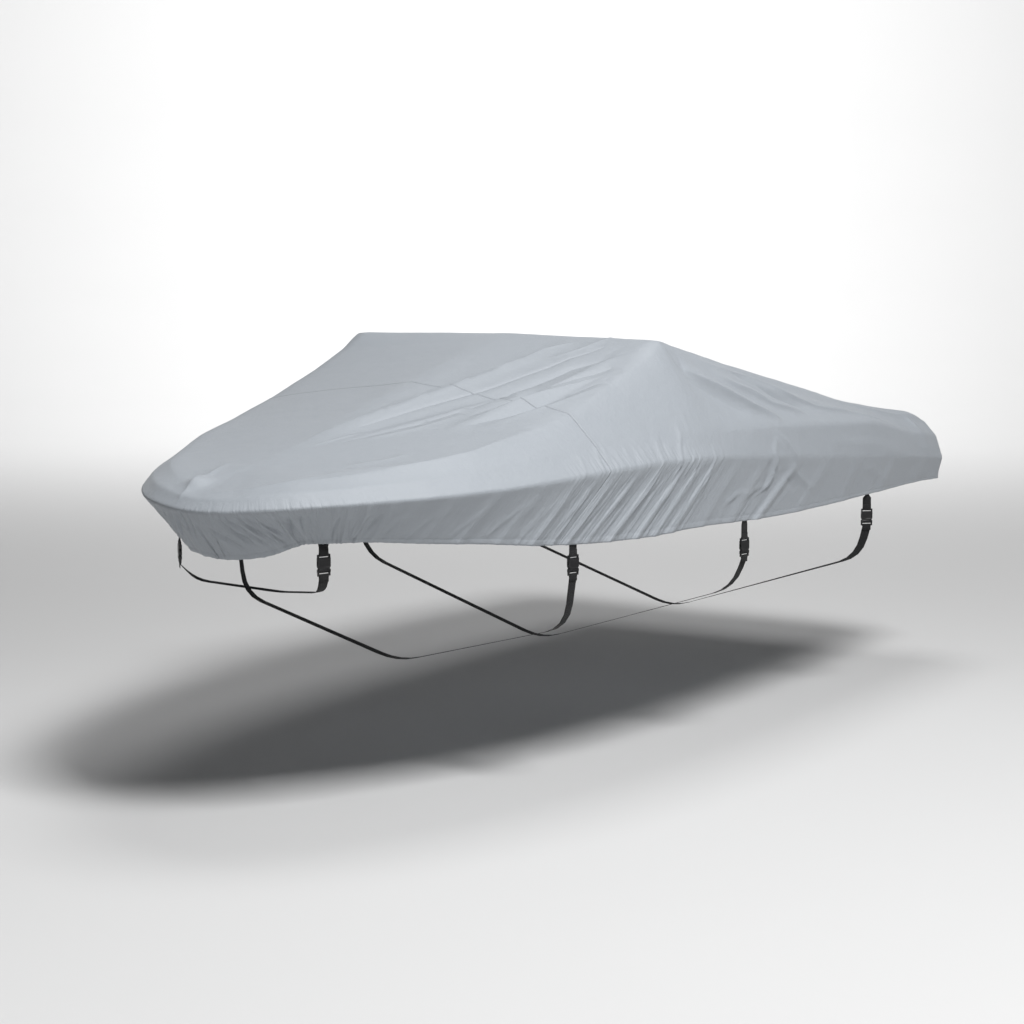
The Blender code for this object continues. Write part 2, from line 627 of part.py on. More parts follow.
def combined(base, others, operation):
    """The base with each other piece joined to it or cut from it; the others are used up."""
    for other in others:
        step = base.modifiers.new(operation, "BOOLEAN")
        step.operation = operation
        step.solver = "EXACT"
        step.object = other
        bpy.context.view_layer.update()
        solid = bpy.data.meshes.new_from_object(base.evaluated_get(
            bpy.context.evaluated_depsgraph_get()))
        base.modifiers.clear()
        base.data = solid
        bpy.data.objects.remove(other, do_unlink=True)
    return base


def mirrored(half):
    """An outline that is the same on both sides: the given half and its mirror image."""
    return half + [(-x, z) for x, z in reversed(half)]


def taken_mesh(thing, finish):
    """The mesh of a piece whose object is no longer needed."""
    mesh = thing.data
    bpy.data.objects.remove(thing, do_unlink=True)
    mesh.materials.clear()
    mesh.materials.append(finish)
    return mesh


def socket_mesh(finish):
    """The upper half of the buckle: two cheeks and a bar for the tab, and a hollow body."""
    cheeks = [box((side * 0.0223 - 0.0027, -0.0035, -0.010), (side * 0.0223 + 0.0027, 0.0035, 0.0035),
                  "cheek") for side in (1, -1)]
    body = slab(mirrored([(0.0215, SOCKET_MOUTH), (BUCKLE_HALF, SOCKET_MOUTH + 0.006),
                          (BUCKLE_HALF, -0.0095), (0.0235, -0.0075)]), 0.011, "socket")
    body = combined(body, cheeks + [bar(0.0, "upper_bar")], "UNION")
    mouth = box((-0.0200, -0.0034, SOCKET_MOUTH - 0.001), (0.0200, 0.0034, -0.013), "mouth")
    windows = box((-0.030, -0.0034, -0.0335), (0.030, 0.0034, -0.0205), "windows")
    return taken_mesh(combined(body, [mouth, windows], "DIFFERENCE"), finish)


def plug_mesh(finish):
    """The lower half of the buckle: two springy prongs, a tongue, and a bar for the long strap."""
    tongue = slab(mirrored([(0.0035, -0.050), (0.0035, -0.024), (0.0020, -0.0225)]), 0.005, "tongue")
    prongs = []
    for side in (1, -1):
        outline = [(0.0130, -0.050), (0.0130, -0.0235), (0.0155, -0.0215), (0.0185, -0.0215),
                   (0.0238, -0.0290), (0.0238, -0.0325), (0.0175, -0.0325), (0.0175, -0.050)]
        prongs.append(slab([(side * x, z) for x, z in outline], 0.006, "prong"))
    flange_top = SOCKET_MOUTH - 0.0004
    flange = slab(mirrored([(BUCKLE_HALF - 0.001, -0.0585), (BUCKLE_HALF, -0.0570),
                            (BUCKLE_HALF, flange_top - 0.004), (0.0205, flange_top)]), 0.010, "plug")
    cheeks = [box((side * 0.0223 - 0.0027, -0.0035, -PLUG_BAR - 0.0035),
                  (side * 0.0223 + 0.0027, 0.0035, -0.056), "cheek") for side in (1, -1)]
    whole = combined(flange, [tongue] + prongs + cheeks + [bar(-PLUG_BAR, "lower_bar")], "UNION")
    return taken_mesh(whole, finish)


def buckle_piece(name, mesh, hanging):
    """A buckle half at its tab: x along the hem, y out from the skirt, z up."""
    made = add_object(name, mesh)
    turn = Matrix((hanging.wide, -hanging.out, UP)).transposed()
    made.matrix_world = Matrix.Translation(hanging.bar) @ turn.to_4x4()
    return made


def main():
    clear_scene()
    cloth = material("grey_cloth", (0.37, 0.40, 0.43), 0.62)
    webbing = material("black_webbing", (0.020, 0.020, 0.022), 0.75)
    plastic = material("black_plastic", (0.015, 0.015, 0.016), 0.38)
    whole = folded_sheet()
    panel("fore_panel", whole, True, cloth)
    panel("main_panel", whole, False, cloth)
    whole.free()
    socket, plug = socket_mesh(plastic), plug_mesh(plastic)
    for number, strap in enumerate(STRAPS, 1):
        for side, label in ((1, "port"), (-1, "starboard")):
            hanging = Hanging(side, strap)
            tab(f"tab_{label}_{number}", hanging, webbing)
            buckle_piece(f"socket_{label}_{number}", socket, hanging)
            buckle_piece(f"plug_{label}_{number}", plug, hanging)
        belly_strap(f"belly_strap_{number}", strap, webbing)


if __name__ == "__main__":
    main()
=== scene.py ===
"""A fitted boat cover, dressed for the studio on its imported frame: two draped cloth panels with
their folds, gathers and stitching, woven webbing, and moulded side-release buckles.
"""
from collections import namedtuple
import math
import random

import bmesh
import bpy
import numpy as np
from bpy.props import FloatProperty, FloatVectorProperty, PointerProperty
from mathutils import Matrix, Vector, noise


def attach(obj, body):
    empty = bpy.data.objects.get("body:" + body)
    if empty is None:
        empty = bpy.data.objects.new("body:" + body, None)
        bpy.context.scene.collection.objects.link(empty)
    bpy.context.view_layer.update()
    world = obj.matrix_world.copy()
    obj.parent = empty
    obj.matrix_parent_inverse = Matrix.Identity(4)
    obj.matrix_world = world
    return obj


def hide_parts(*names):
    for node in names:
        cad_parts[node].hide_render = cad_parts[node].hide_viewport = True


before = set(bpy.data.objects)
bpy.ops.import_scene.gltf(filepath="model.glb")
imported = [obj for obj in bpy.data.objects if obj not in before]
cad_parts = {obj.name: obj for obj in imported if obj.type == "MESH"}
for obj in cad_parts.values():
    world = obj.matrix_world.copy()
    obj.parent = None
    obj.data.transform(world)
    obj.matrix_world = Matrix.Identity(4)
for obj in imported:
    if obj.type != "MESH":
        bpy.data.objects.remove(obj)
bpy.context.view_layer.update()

bl_info = {
    "name": "Boat cover",
    "version": (1, 0, 0),
    "blender": (4, 5, 0),
    "location": "3D View > Sidebar > Cover",
    "description": "Makes a fitted boat cover with its webbing and buckles on a packed frame",
    "category": "Add Mesh",
}

# ---- the cover's measures, as its solids have them ------------
LENGTH = 4.345              # bow tip to stern, over the rail line
CORNER_RADIUS = 0.035       # stern corners, in plan
APEX_AFT = 1.93             # the highest line of the cloth, aft of the bow tip
APEX_HEIGHT = 1.6425        # height above the floor of the origin, just under the cloth there
CLOTH = 0.002               # thickness of the cloth
SEAM_AFT = 1.28             # the cross seam
BOW_POLE = 0.35             # aft of this the sections run straight across; ahead of it they fan out
STERN_POLE = LENGTH - 0.40  # and abaft this they fan out round the stern
TAUTNESS = 0.55             # 1 is straight between the rows of a table, 0 is fully rounded
ROUNDED_AFT = [0.9, 1.3, 1.7, 2.0]      # sections have it between the middle two of these places

# Webbing and buckles.
WEBBING_WIDTH = 0.038
WEBBING_THICKNESS = 0.0016
TAB_GAP = 0.0008            # between the cloth's inner face and a tab
HEM_CLEAR = 0.003           # a tab keeps the slope of the skirt this far below the hem
TAB_SEWN = 0.042            # length of each tab inside the hem
TWIST_LENGTH = 0.014        # a tab that is twisted has its full turn this far below its bend
SEWN_OFFSET = 0.00095       # doubled webbing lies this far either side of its middle
SEWN_START = 0.012          # doubled webbing comes together this far from its bar
SEWN_END = 0.024            # and its sewn end is this far from it
LOOP_RADIUS = 0.0035        # of the webbing's middle round a bar
LOOP_STEPS = 5
PLUG_BAR = 0.067            # the plug's bar is this far below the socket's
BEND_STEPS = 4              # in each rounded bend of a long strap
UP = Vector((0.0, 0.0, 1.0))
AFT = Vector((0.0, 1.0, 0.0))

# Half breadth of the rail line, the edge where the cover turns down into its skirt.
Breadth = namedtuple("Breadth", "aft half")
RAIL_PLAN = [
    Breadth(0.00, 0.000), Breadth(0.02, 0.128), Breadth(0.05, 0.208), Breadth(0.10, 0.297),
    Breadth(0.20, 0.411), Breadth(0.35, 0.529), Breadth(0.50, 0.619), Breadth(0.75, 0.727),
    Breadth(1.00, 0.807), Breadth(1.50, 0.911), Breadth(2.00, 0.965), Breadth(2.60, 0.990),
    Breadth(3.40, 0.990), Breadth(LENGTH, 0.960),
]

# Section of the cover at each way: the distance aft of the bow tip, and past LENGTH the distance in
# from the stern corner.  rail, ridge and hem are heights.  edge_in and ridge_in are how far inboard
# of the rail the rounded edge and the ridge lie, edge_up is the edge's height above the rail, and
# hem_in is how far the hem is drawn in under the rail.
Section = namedtuple("Section", "way rail edge_in edge_up ridge_in ridge hem_in hem")
SECTIONS = [
    Section(0.00, 1.122, 0.035, 0.040, 0.105, 1.185, 0.145, 0.945),
    Section(0.05, 1.132, 0.040, 0.045, 0.110, 1.200, 0.138, 0.960),
    Section(0.15, 1.142, 0.045, 0.048, 0.120, 1.218, 0.130, 1.006),
    Section(0.30, 1.150, 0.050, 0.050, 0.130, 1.233, 0.125, 1.005),
    Section(0.50, 1.156, 0.055, 0.056, 0.138, 1.256, 0.118, 0.988),
    Section(0.75, 1.164, 0.062, 0.068, 0.128, 1.292, 0.105, 0.967),
    Section(1.00, 1.176, 0.075, 0.090, 0.160, 1.334, 0.090, 0.940),
    Section(1.30, 1.192, 0.090, 0.107, 0.190, 1.398, 0.075, 0.923),
    Section(1.60, 1.198, 0.085, 0.115, 0.230, 1.492, 0.057, 0.918),
    Section(1.80, 1.195, 0.052, 0.099, 0.245, 1.568, 0.050, 0.924),
    Section(1.93, 1.190, 0.045, 0.098, 0.252, 1.632, 0.047, 0.924),
    Section(2.05, 1.182, 0.040, 0.103, 0.255, 1.606, 0.044, 0.920),
    Section(2.50, 1.149, 0.034, 0.124, 0.262, 1.508, 0.035, 0.906),
    Section(3.00, 1.107, 0.033, 0.141, 0.240, 1.408, 0.030, 0.902),
    Section(3.50, 1.068, 0.033, 0.153, 0.208, 1.310, 0.027, 0.906),
    Section(4.00, 1.024, 0.032, 0.108, 0.140, 1.235, 0.023, 0.905),
    Section(LENGTH, 0.992, 0.032, 0.103, 0.090, 1.165, 0.020, 0.893),
    Section(4.63, 0.985, 0.030, 0.135, 0.080, 1.185, 0.020, 0.888),
    Section(5.29, 0.985, 0.030, 0.140, 0.080, 1.195, 0.020, 0.885),
]

# Height of the cloth on the centre line.
Crown = namedtuple("Crown", "aft height")
CROWNS = [
    Crown(0.00, 1.160), Crown(0.35, 1.250), Crown(0.60, 1.308), Crown(1.00, 1.414),
    Crown(1.30, 1.488), Crown(1.60, 1.562), Crown(1.93, 1.645), Crown(2.05, 1.628),
    Crown(2.50, 1.530), Crown(3.00, 1.430), Crown(3.50, 1.332), Crown(3.93, 1.262),
    Crown(LENGTH, 1.200),
]


# ---- curves through the tables ------------
def column(rows, name):
    """One named column of a table, as an array."""
    return np.array([getattr(row, name) for row in rows])


def slopes(xs, ys):
    """Slope at each point of a curve that never overshoots its points."""
    step = np.diff(xs)
    chord = np.diff(ys) / step
    slope = np.zeros(len(xs))
    slope[0], slope[-1] = chord[0], chord[-1]
    for i in range(1, len(xs) - 1):
        before, after = chord[i - 1], chord[i]
        if before * after > 0:
            near, far = 2 * step[i] + step[i - 1], step[i] + 2 * step[i - 1]
            slope[i] = (near + far) / (near / before + far / after)
    return slope


def curve(x, xs, ys, tautness=0.0):
    """Value at x of a rounded curve through the points, mixed with straight lines by tautness."""
    x = np.clip(x, xs[0], xs[-1])
    i = np.clip(np.searchsorted(xs, x, side="right") - 1, 0, len(xs) - 2)
    step = xs[i + 1] - xs[i]
    t = (x - xs[i]) / step
    slope = slopes(xs, ys)
    rounded = ((1 + 2 * t) * (1 - t) ** 2 * ys[i] + t * (1 - t) ** 2 * step * slope[i]
               + t * t * (3 - 2 * t) * ys[i + 1] + t * t * (t - 1) * step * slope[i + 1])
    straight = ys[i] + t * (ys[i + 1] - ys[i])
    return tautness * straight + (1 - tautness) * rounded


def section(way):
    """Every column of SECTIONS at this way round the cover."""
    ways = column(SECTIONS, "way")
    values = [curve(way, ways, column(SECTIONS, name), TAUTNESS) for name in Section._fields[1:]]
    return Section(way, *values)


def taut_at(aft):
    """How straight a section runs between its points here: rounded only just ahead of the apex."""
    return float(np.interp(aft, ROUNDED_AFT, [1.0, TAUTNESS, TAUTNESS, 1.0]))


def crown_height(aft):
    return curve(aft, column(CROWNS, "aft"), column(CROWNS, "height"), TAUTNESS)


def half_breadth(aft):
    """Half breadth of the rail line; it is read by the root of aft, as a blunt bow needs."""
    aft = np.maximum(aft, 0.0)
    return curve(np.sqrt(aft), np.sqrt(column(RAIL_PLAN, "aft")), column(RAIL_PLAN, "half"))


# ---- the rail line, as one line round the port side ------------
def rail_outline(samples=600, corner_steps=12):
    """Points (half, aft) from the bow tip down the port side and across the stern to the middle."""
    side_end = LENGTH - CORNER_RADIUS
    afts = side_end * np.linspace(0.0, 1.0, samples) ** 2
    side = np.stack([half_breadth(afts), afts], axis=1)
    turn = np.linspace(0.0, math.pi / 2, corner_steps + 1)[1:]
    centre = np.array([side[-1, 0] - CORNER_RADIUS, side_end])
    corner = centre + CORNER_RADIUS * np.stack([np.cos(turn), np.sin(turn)], axis=1)
    return np.concatenate([side, corner, [[0.0, LENGTH]]])


OUTLINE = rail_outline()
ROUND = np.concatenate([[0.0], np.cumsum(np.linalg.norm(np.diff(OUTLINE, axis=0), axis=1))])
GIRTH = ROUND[-1]                       # from the bow tip round one side to the middle of the stern


def rail_point(distance):
    """(half, aft) of the rail line at this distance round from the bow tip."""
    return np.array([np.interp(distance, ROUND, OUTLINE[:, 0]),
                     np.interp(distance, ROUND, OUTLINE[:, 1])])


def rail_normal(distance, reach=0.02):
    """Outward direction in plan, square to the rail line."""
    ahead = rail_point(min(distance + reach, GIRTH))
    behind = rail_point(max(distance - reach, 0.0))
    if distance < reach:
        behind = np.array([-ahead[0], ahead[1]])
    if distance > GIRTH - reach:
        ahead = np.array([-behind[0], behind[1]])
    along = ahead - behind
    along /= np.linalg.norm(along)
    return np.array([along[1], -along[0]])


def way_at(distance):
    """The way that the tables are read by, at this distance round the rail line."""
    half, aft = rail_point(distance)
    turned = half_breadth(LENGTH - CORNER_RADIUS) - half if aft > LENGTH - CORNER_RADIUS else 0.0
    return aft + turned


def distance_at(aft):
    """Distance round the rail line to the point this far aft on the side."""
    return float(np.interp(aft, OUTLINE[:-1, 1], ROUND[:-1]))


# ---- folds ------------
def metres(kind, rows):
    """Rows of a table that is written in millimetres, in metres."""
    return [kind(*(value / 1000 for value in row)) for row in rows]


def creases(kind, rows):
    """Creases from rows in millimetres: their widths and height, then their places, in pairs."""
    sizes, made = len(kind._fields) - 1, []
    for row in rows:
        row = [round(value / 1000, 6) for value in row]
        made.append(kind(*row[:sizes], list(zip(row[sizes::2], row[sizes + 1::2]))))
    return made


# Folds of the skirt run from a distance round the rail line down to a distance round the hem, and
# stand out by a depth there: both sides share rail_at, and have their own hem end and depth.
SkirtFold = namedtuple(
    "SkirtFold", "rail_at width port_hem port_depth starboard_hem starboard_depth")
SKIRT_FOLDS = metres(SkirtFold, [
    (45, 20, 40, 7, 35, 6), (100, 18, 150, 11, 130, 8), (150, 18, 240, 10, 215, 11),
    (205, 18, 310, 11, 290, 8), (265, 18, 370, 10, 350, 10), (335, 18, 415, 8, 405, 8),
    (540, 20, 535, 8, 540, 9), (610, 20, 590, 10, 600, 7), (700, 22, 650, 10, 670, 9),
    (790, 24, 720, 7, 760, 8), (940, 30, 850, 6, 890, 5), (1120, 32, 1000, 8, 1040, 4),
    (1330, 32, 1180, 6, 1230, 8), (1490, 28, 1330, 10, 1400, 11), (1600, 24, 1420, 7, 1450, 10),
    (1700, 24, 1486, 13, 1500, 9), (1840, 22, 1595, 9, 1605, 10), (1975, 24, 1716, 13, 1726, 8),
    (2128, 22, 1868, 11, 1880, 11), (2240, 22, 1975, 8, 1990, 6), (2345, 24, 2080, 9, 2115, 9),
    (2520, 36, 2280, 5, 2330, 5), (2740, 40, 2500, 6, 2560, 4), (3040, 38, 2690, 14, 2740, 10),
    (3330, 45, 3080, 6, 3150, 9), (3640, 45, 3520, 5, 3560, 5), (4060, 45, 3920, 6, 3960, 8),
    (4420, 45, 4380, 5, 4390, 4), (4920, 40, 4900, 7, 4890, 6), (5160, 40, 5170, 6, 5150, 7),
])

# Folds of the top run between two places, given as x (port is +) and aft, and stand up by a height.
# Each has its own width on its starboard and its port slope; a height below 0 is a trough.
TopFold = namedtuple("TopFold", "x1 aft1 x2 aft2 starboard_width port_width height")
TOP_FOLDS = metres(TopFold, [
    (0, 640, 340, 1900, 22, 50, 14), (50, 550, 610, 1870, 46, 20, -9),
    (400, 900, 610, 1840, 22, 36, 12), (470, 940, 650, 1700, 30, 18, -8),
    (765, 2020, 935, 2570, 30, 20, 18), (775, 2220, 910, 2860, 24, 18, 11),
    (745, 2160, 890, 3360, 30, 22, 14), (690, 2200, 770, 3600, 30, 26, 6),
    (-740, 1200, -740, 1820, 24, 24, 10), (-760, 2040, -930, 2660, 22, 30, 18),
    (-730, 2120, -890, 3300, 22, 30, 15),
])

# Soft mounds where something under the cloth carries it.
Mound = namedtuple("Mound", "x aft radius height")
MOUNDS = [Mound(-0.10, 0.14, 0.040, 0.020), Mound(0.85, 4.13, 0.110, 0.014)]

# Fine creases of the top, sharper than its folds.  Each runs through a few places, given as x (port
# is +) and aft, and has its own width on its two slopes; a height below 0 is a trough.
Crease = namedtuple("Crease", "starboard_width port_width height places")
TOP_CREASES = creases(Crease, [
    # The bands that run up to the apex on the port side.
    (7, 70, 6.5, 0, 690, 103, 996, 208, 1408, 309, 1789, 350, 1880),
    (6, 10, -5.5, 100, 790, 198, 1085, 303, 1344, 375, 1571, 434, 1726, 520, 1860),
    (14, 7, -8, 130, 640, 267, 916, 347, 1138, 400, 1353, 488, 1644, 630, 1830),
    (6, 14, 5, 190, 700, 290, 860, 360, 1060), (6, 14, 4.5, 40, 560, 118, 726, 165, 790),
    (14, 6, -7, 400, 1080, 468, 1326, 569, 1562, 640, 1700),
    (7, 24, 6, 430, 1100, 495, 1320, 595, 1550, 660, 1690),
    (12, 6, -6, 445, 980, 544, 1237, 610, 1435, 670, 1620),
    (7, 24, 6, 470, 970, 570, 1230, 635, 1430, 680, 1560),
    (6, 14, 4.5, 360, 1700, 437, 1826, 490, 1920, 510, 1980),
    (6, 14, 4.5, 240, 1520, 266, 1689, 320, 1800, 370, 1870),
    # The creases that sweep aft from the apex on the port side.
    (10, 8, 9, 740, 2180, 758, 2338, 770, 2549, 796, 2714, 839, 2870, 874, 3035, 897, 3330),
    (14, 8, 10.5, 775, 2020, 819, 2192, 882, 2375, 935, 2580),
    (14, 9, 9.5, 780, 2240, 830, 2485, 874, 2604, 908, 2860),
    (12, 10, -8, 770, 2420, 806, 2604, 842, 2714, 890, 2950),
    (18, 14, -6, 720, 1960, 769, 1991, 817, 2060, 851, 2164, 900, 2310),
    (12, 10, 7.5, 870, 3120, 900, 3400, 924, 3549, 935, 3780),
    (14, 12, 9, 800, 3380, 837, 3641, 862, 3925, 866, 4206, 906, 4300),
    (10, 10, 6, 850, 4020, 890, 4060, 935, 4110), (14, 14, -4, 760, 3300, 800, 3700, 820, 4150),
    (14, 16, 3, 400, 1980, 300, 2260, 200, 2600), (14, 16, -3, 560, 1980, 500, 2200, 420, 2450),
    # The bow: the fold that its top turns over on, and the mound with its two small ridges.
    (14, 20, 3.5, -30, 80, 75, 100, 159, 137, 231, 199, 299, 287, 381, 403, 482, 507, 560, 640,
     610, 769, 640, 1060),
    (10, 16, 6, -98, 30, -110, 133, -118, 233, -135, 345),
    (10, 14, 3, 300, 400, 400, 560, 430, 660),
    # The starboard side.
    (10, 14, 9, -780, 2040, -880, 2330, -930, 2560),
    (10, 18, 7, -760, 2250, -800, 2700, -880, 3080),
    (12, 14, -6, -780, 2380, -850, 2720, -890, 2980),
    (12, 14, 5, -820, 3200, -860, 3700, -880, 4100),
    (12, 12, 4.5, -720, 1150, -790, 1480, -760, 1820), (14, 14, 3, -450, 1980, -280, 2550),
    # The stern.
    (16, 16, 3.5, 300, 4080, 480, 4200, 640, 4335),
    (16, 16, 3.5, -350, 4040, -560, 4180, -700, 4335),
])

# Creases of the sides: each runs through a few places given as a distance round the rail line and a
# drop below it.  A drop below 0 lies above the rail line.
SideCrease = namedtuple("SideCrease", "width height places")
PORT_CREASES = creases(SideCrease, [
    # Crinkles over the rounded edge where the skirt is drawn forward, on the port side.
    (8, 3.7, 1550, -90, 1522, 5), (7, 4.5, 1669, -130, 1623, -35, 1618, 15),
    (6, 3.4, 1697, -115, 1678, -50), (7, 3.7, 1710, -50, 1697, 10), (6, -3.4, 1645, -80, 1640, 10),
    (7, 3.7, 1740, -90, 1733, 10), (7, 3.4, 1807, -95, 1770, -10), (6, -3.4, 1835, -85, 1815, 0),
    (7, 3.4, 1850, -70, 1845, 12), (7, 3.7, 1889, -80, 1871, -20), (6, 3.4, 1900, -45, 1880, 10),
    (7, 3.7, 1935, -100, 1925, 0), (8, 5.6, 1999, -100, 1972, -28, 1970, 15),
    (6, 4.5, 2012, -60, 1985, 0), (7, -4.5, 2035, -100, 2005, -10), (6, 3.4, 2062, -90, 2040, 0),
    (8, 7.1, 2178, -160, 2135, -80, 2082, -6, 2100, 30, 2091, 130),
    (7, -4.5, 2150, -90, 2105, -10), (7, 6, 2196, -45, 2164, 18, 2174, 95),
    (7, 5.3, 2215, -30, 2212, 26, 2250, 140), (9, 6.4, 2325, -50, 2322, 18, 2348, 100, 2406, 240),
    (8, 3.4, 2235, -200, 2205, -115),
    # Folds of the skirt below them, sharper than the solid's.
    (12, 2.6, 1455, 80, 1420, 235), (8, -4.5, 1522, 5, 1614, 90), (12, 2.8, 1600, 60, 1575, 240),
    (9, -2.4, 1642, 80, 1600, 210), (14, 3.4, 1745, 50, 1752, 140, 1740, 255),
    (9, -2.6, 1790, 70, 1812, 160, 1834, 245), (10, 2.8, 1843, 30, 1853, 250),
    (8, -2, 1905, 60, 1900, 240), (12, 3.7, 1972, 20, 1985, 110, 1965, 255),
    (7, 2.4, 2010, 60, 2030, 130, 2068, 245), (10, -2.8, 2050, 40, 2040, 140, 2012, 240),
    (9, 3.2, 2130, 50, 2128, 245), (8, -2.2, 2200, 70, 2205, 240), (10, 3, 2247, 30, 2268, 245),
    (8, -1.8, 2290, 60, 2330, 240), (9, 2, 2467, 120, 2480, 250),
    # The triangle of folds over the third strap.
    (8, 8.5, 2852, -105, 2944, -50, 3040, 45), (7, 5, 2845, -70, 2920, -20),
    (10, 12.5, 2850, -80, 2800, -20, 2850, 60, 2907, 160, 2850, 225),
    (10, -7, 2770, 20, 2850, 130, 2870, 215), (12, 7, 2960, 40, 3100, 115, 3350, 200),
    (10, -6, 2940, 75, 3060, 155, 3200, 210), (9, 8, 2600, 250, 2660, 195, 2740, 185),
    (10, 6, 2700, 225, 2810, 175, 2900, 165),
    # Soft folds of the side farther aft.
    (22, 4.5, 3350, -65, 3800, -55, 4200, -20), (18, 4, 3760, 40, 4130, 160),
    (14, 4, 4540, -20, 4500, 100),
    # Sharp pleats of the bow, drawn together toward the hem.
    (5.5, -10.8, 28, 70, 110, 175), (5.5, -11.7, 70, 22, 147, 175), (5.5, -10.8, 99, 20, 174, 170),
    (5.5, -11.7, 136, 20, 202, 175), (5.5, -10.8, 162, 25, 229, 175),
    (5.5, -10.8, 190, 35, 257, 165), (5, -9, 18, 100, 55, 200), (6, -9, 257, 40, 257, 155),
    (6, -9.9, 314, 35, 284, 145), (6, -9, 360, 35, 337, 135), (6, -8.1, 387, 35, 385, 130),
    (7, -8.1, 506, 55, 468, 180), (7, -7.2, 550, 70, 569, 165), (7, -8.1, 626, 70, 596, 180),
    (7, -7.2, 672, 55, 642, 165), (8, 4, 760, 80, 720, 185), (9, 3.5, 900, 90, 850, 200),
    (10, 3.5, 1110, 90, 1050, 220), (10, 4, 1300, 90, 1230, 230),
])
STARBOARD_CREASES = creases(SideCrease, [
    # Sharp pleats of the bow.
    (5.5, -9.9, 46, 22, 83, 125), (5.5, -9.9, 37, 55, 37, 180), (5.5, -9.9, 83, 10, 92, 100),
    (5.5, -10.8, 110, 20, 160, 170), (5.5, -10.8, 150, 25, 205, 170),
    (5.5, -9.9, 195, 30, 240, 165), (6, -9, 270, 35, 262, 150), (6, -9, 340, 40, 318, 140),
    (7, -8.1, 520, 60, 480, 175), (7, -7.2, 640, 60, 612, 170),
    # Crinkles and skirt folds of the starboard side, less drawn than to port.
    (8, 4.1, 1640, -110, 1610, 10), (7, 3.7, 1730, -90, 1712, 12),
    (8, 4.9, 1890, -100, 1868, 10, 1872, 90), (7, -3.7, 1930, -80, 1910, 10),
    (8, 5.6, 2080, -140, 2040, -10, 2046, 120), (8, 4.9, 2200, -80, 2182, 15, 2215, 180),
    (12, 2.8, 1700, 50, 1690, 240), (10, 2.8, 1990, 40, 1980, 245), (9, -2.4, 2110, 50, 2120, 235),
    (10, 2.6, 2300, 30, 2350, 240), (10, 8.5, 2840, -80, 2790, -10, 2880, 150, 2840, 220),
    (10, 6, 2930, 40, 3220, 165), (18, 4, 3600, 30, 3900, 150), (14, 4.5, 4560, -30, 4480, 110),
])

# Gathers of the skirt, which is drawn up at its hem: fine pleats set about so far apart along a
# stretch of the rail line.  top is the share of the drop at which they start.
Gather = namedtuple("Gather", "start end spacing width depth top")
GATHERS = [
    Gather(0.00, 0.62, 0.0250, 0.0055, 0.0035, 0.06),
    Gather(0.62, 1.40, 0.0420, 0.0070, 0.0022, 0.22),
    Gather(1.40, 2.45, 0.0340, 0.0075, 0.0030, 0.05),
    Gather(2.45, 3.20, 0.0700, 0.0100, 0.0030, 0.35),
    Gather(3.20, 4.50, 0.0800, 0.0120, 0.0020, 0.45),
    Gather(4.50, 5.67, 0.0650, 0.0110, 0.0028, 0.30),
]
GATHER_SEED = 40
# What chance gives each gather, as shares of its spacing, of the drop, of its depth and its width.
LEANS, TOPS, DEPTHS, WIDTHS = (-0.6, 0.6), (0.0, 0.35), (0.35, 1.0), (0.8, 1.5)
SPACINGS = (0.6, 1.4)
GATHER_RISE = 0.35          # share of the drop over which a gather comes up to its depth
PLEAT_POWER = 1.35          # 2 would be a soft crest
FOLD_FADE = 0.7             # how soon a fold comes up from its ends: 0 is at once
CREASE_FADE = 0.5
FULL_FOLD = 0.4             # a skirt fold has its full depth from this share of the drop


def bump(offset, width):
    """A soft crest across a fold: 1 on its line and 0 well clear of it."""
    return np.exp(-(offset / width) ** 2)


def pleat(offset, width):
    """A crest with a tighter top than bump's, as creased cloth has."""
    return np.exp(-(np.abs(offset) / width) ** PLEAT_POWER)


def along_and_across(x, y, x1, y1, x2, y2):
    """Share of the way along a line, and the distance to its right, of many places at once."""
    run_x, run_y = x2 - x1, y2 - y1
    length = math.hypot(run_x, run_y)
    along = ((x - x1) * run_x + (y - y1) * run_y) / length ** 2
    across = ((x - x1) * run_y - (y - y1) * run_x) / length
    return along, across


def along_and_beside(x, y, places):
    """The same for a crease through a few places, with the distance to its nearest stretch."""
    lengths = [math.dist(near, far) for near, far in zip(places, places[1:])]
    away, along, across = np.full_like(x, np.inf), np.zeros_like(x), np.zeros_like(x)
    before = 0.0
    for near, far, length in zip(places, places[1:], lengths):
        share, offset = along_and_across(x, y, *near, *far)
        held = np.clip(share, 0.0, 1.0)
        distance = np.hypot(offset, (share - held) * length)
        closer = distance < away
        away = np.where(closer, distance, away)
        along = np.where(closer, (before + held * length) / sum(lengths), along)
        across = np.where(closer, np.where(offset > 0.0, distance, -distance), across)
        before += length
    return along, across


def faded(along, power):
    """Strength of a fold along its line, coming up from nothing at both ends."""
    return np.sin(math.pi * np.clip(along, 0.0, 1.0)) ** power


def top_relief(x, aft):
    """How far the solid's folds and mounds of the top lift the cloth, at many places at once."""
    lift = np.zeros_like(x)
    for fold in TOP_FOLDS:
        along, across = along_and_across(x, aft, fold.x1, fold.aft1, fold.x2, fold.aft2)
        width = np.where(across > 0.0, fold.port_width, fold.starboard_width)
        lift += fold.height * bump(across, width) * faded(along, FOLD_FADE)
    for mound in MOUNDS:
        lift += mound.height * bump(np.hypot(x - mound.x, aft - mound.aft), mound.radius)
    return lift


def crease_relief(x, aft):
    """How far the fine creases of the top lift the cloth, at many places at once."""
    lift = np.zeros_like(x)
    for crease in TOP_CREASES:
        along, across = along_and_beside(x, aft, crease.places)
        width = np.where(across > 0.0, crease.port_width, crease.starboard_width)
        lift += crease.height * pleat(across, width) * faded(along, CREASE_FADE)
    return lift


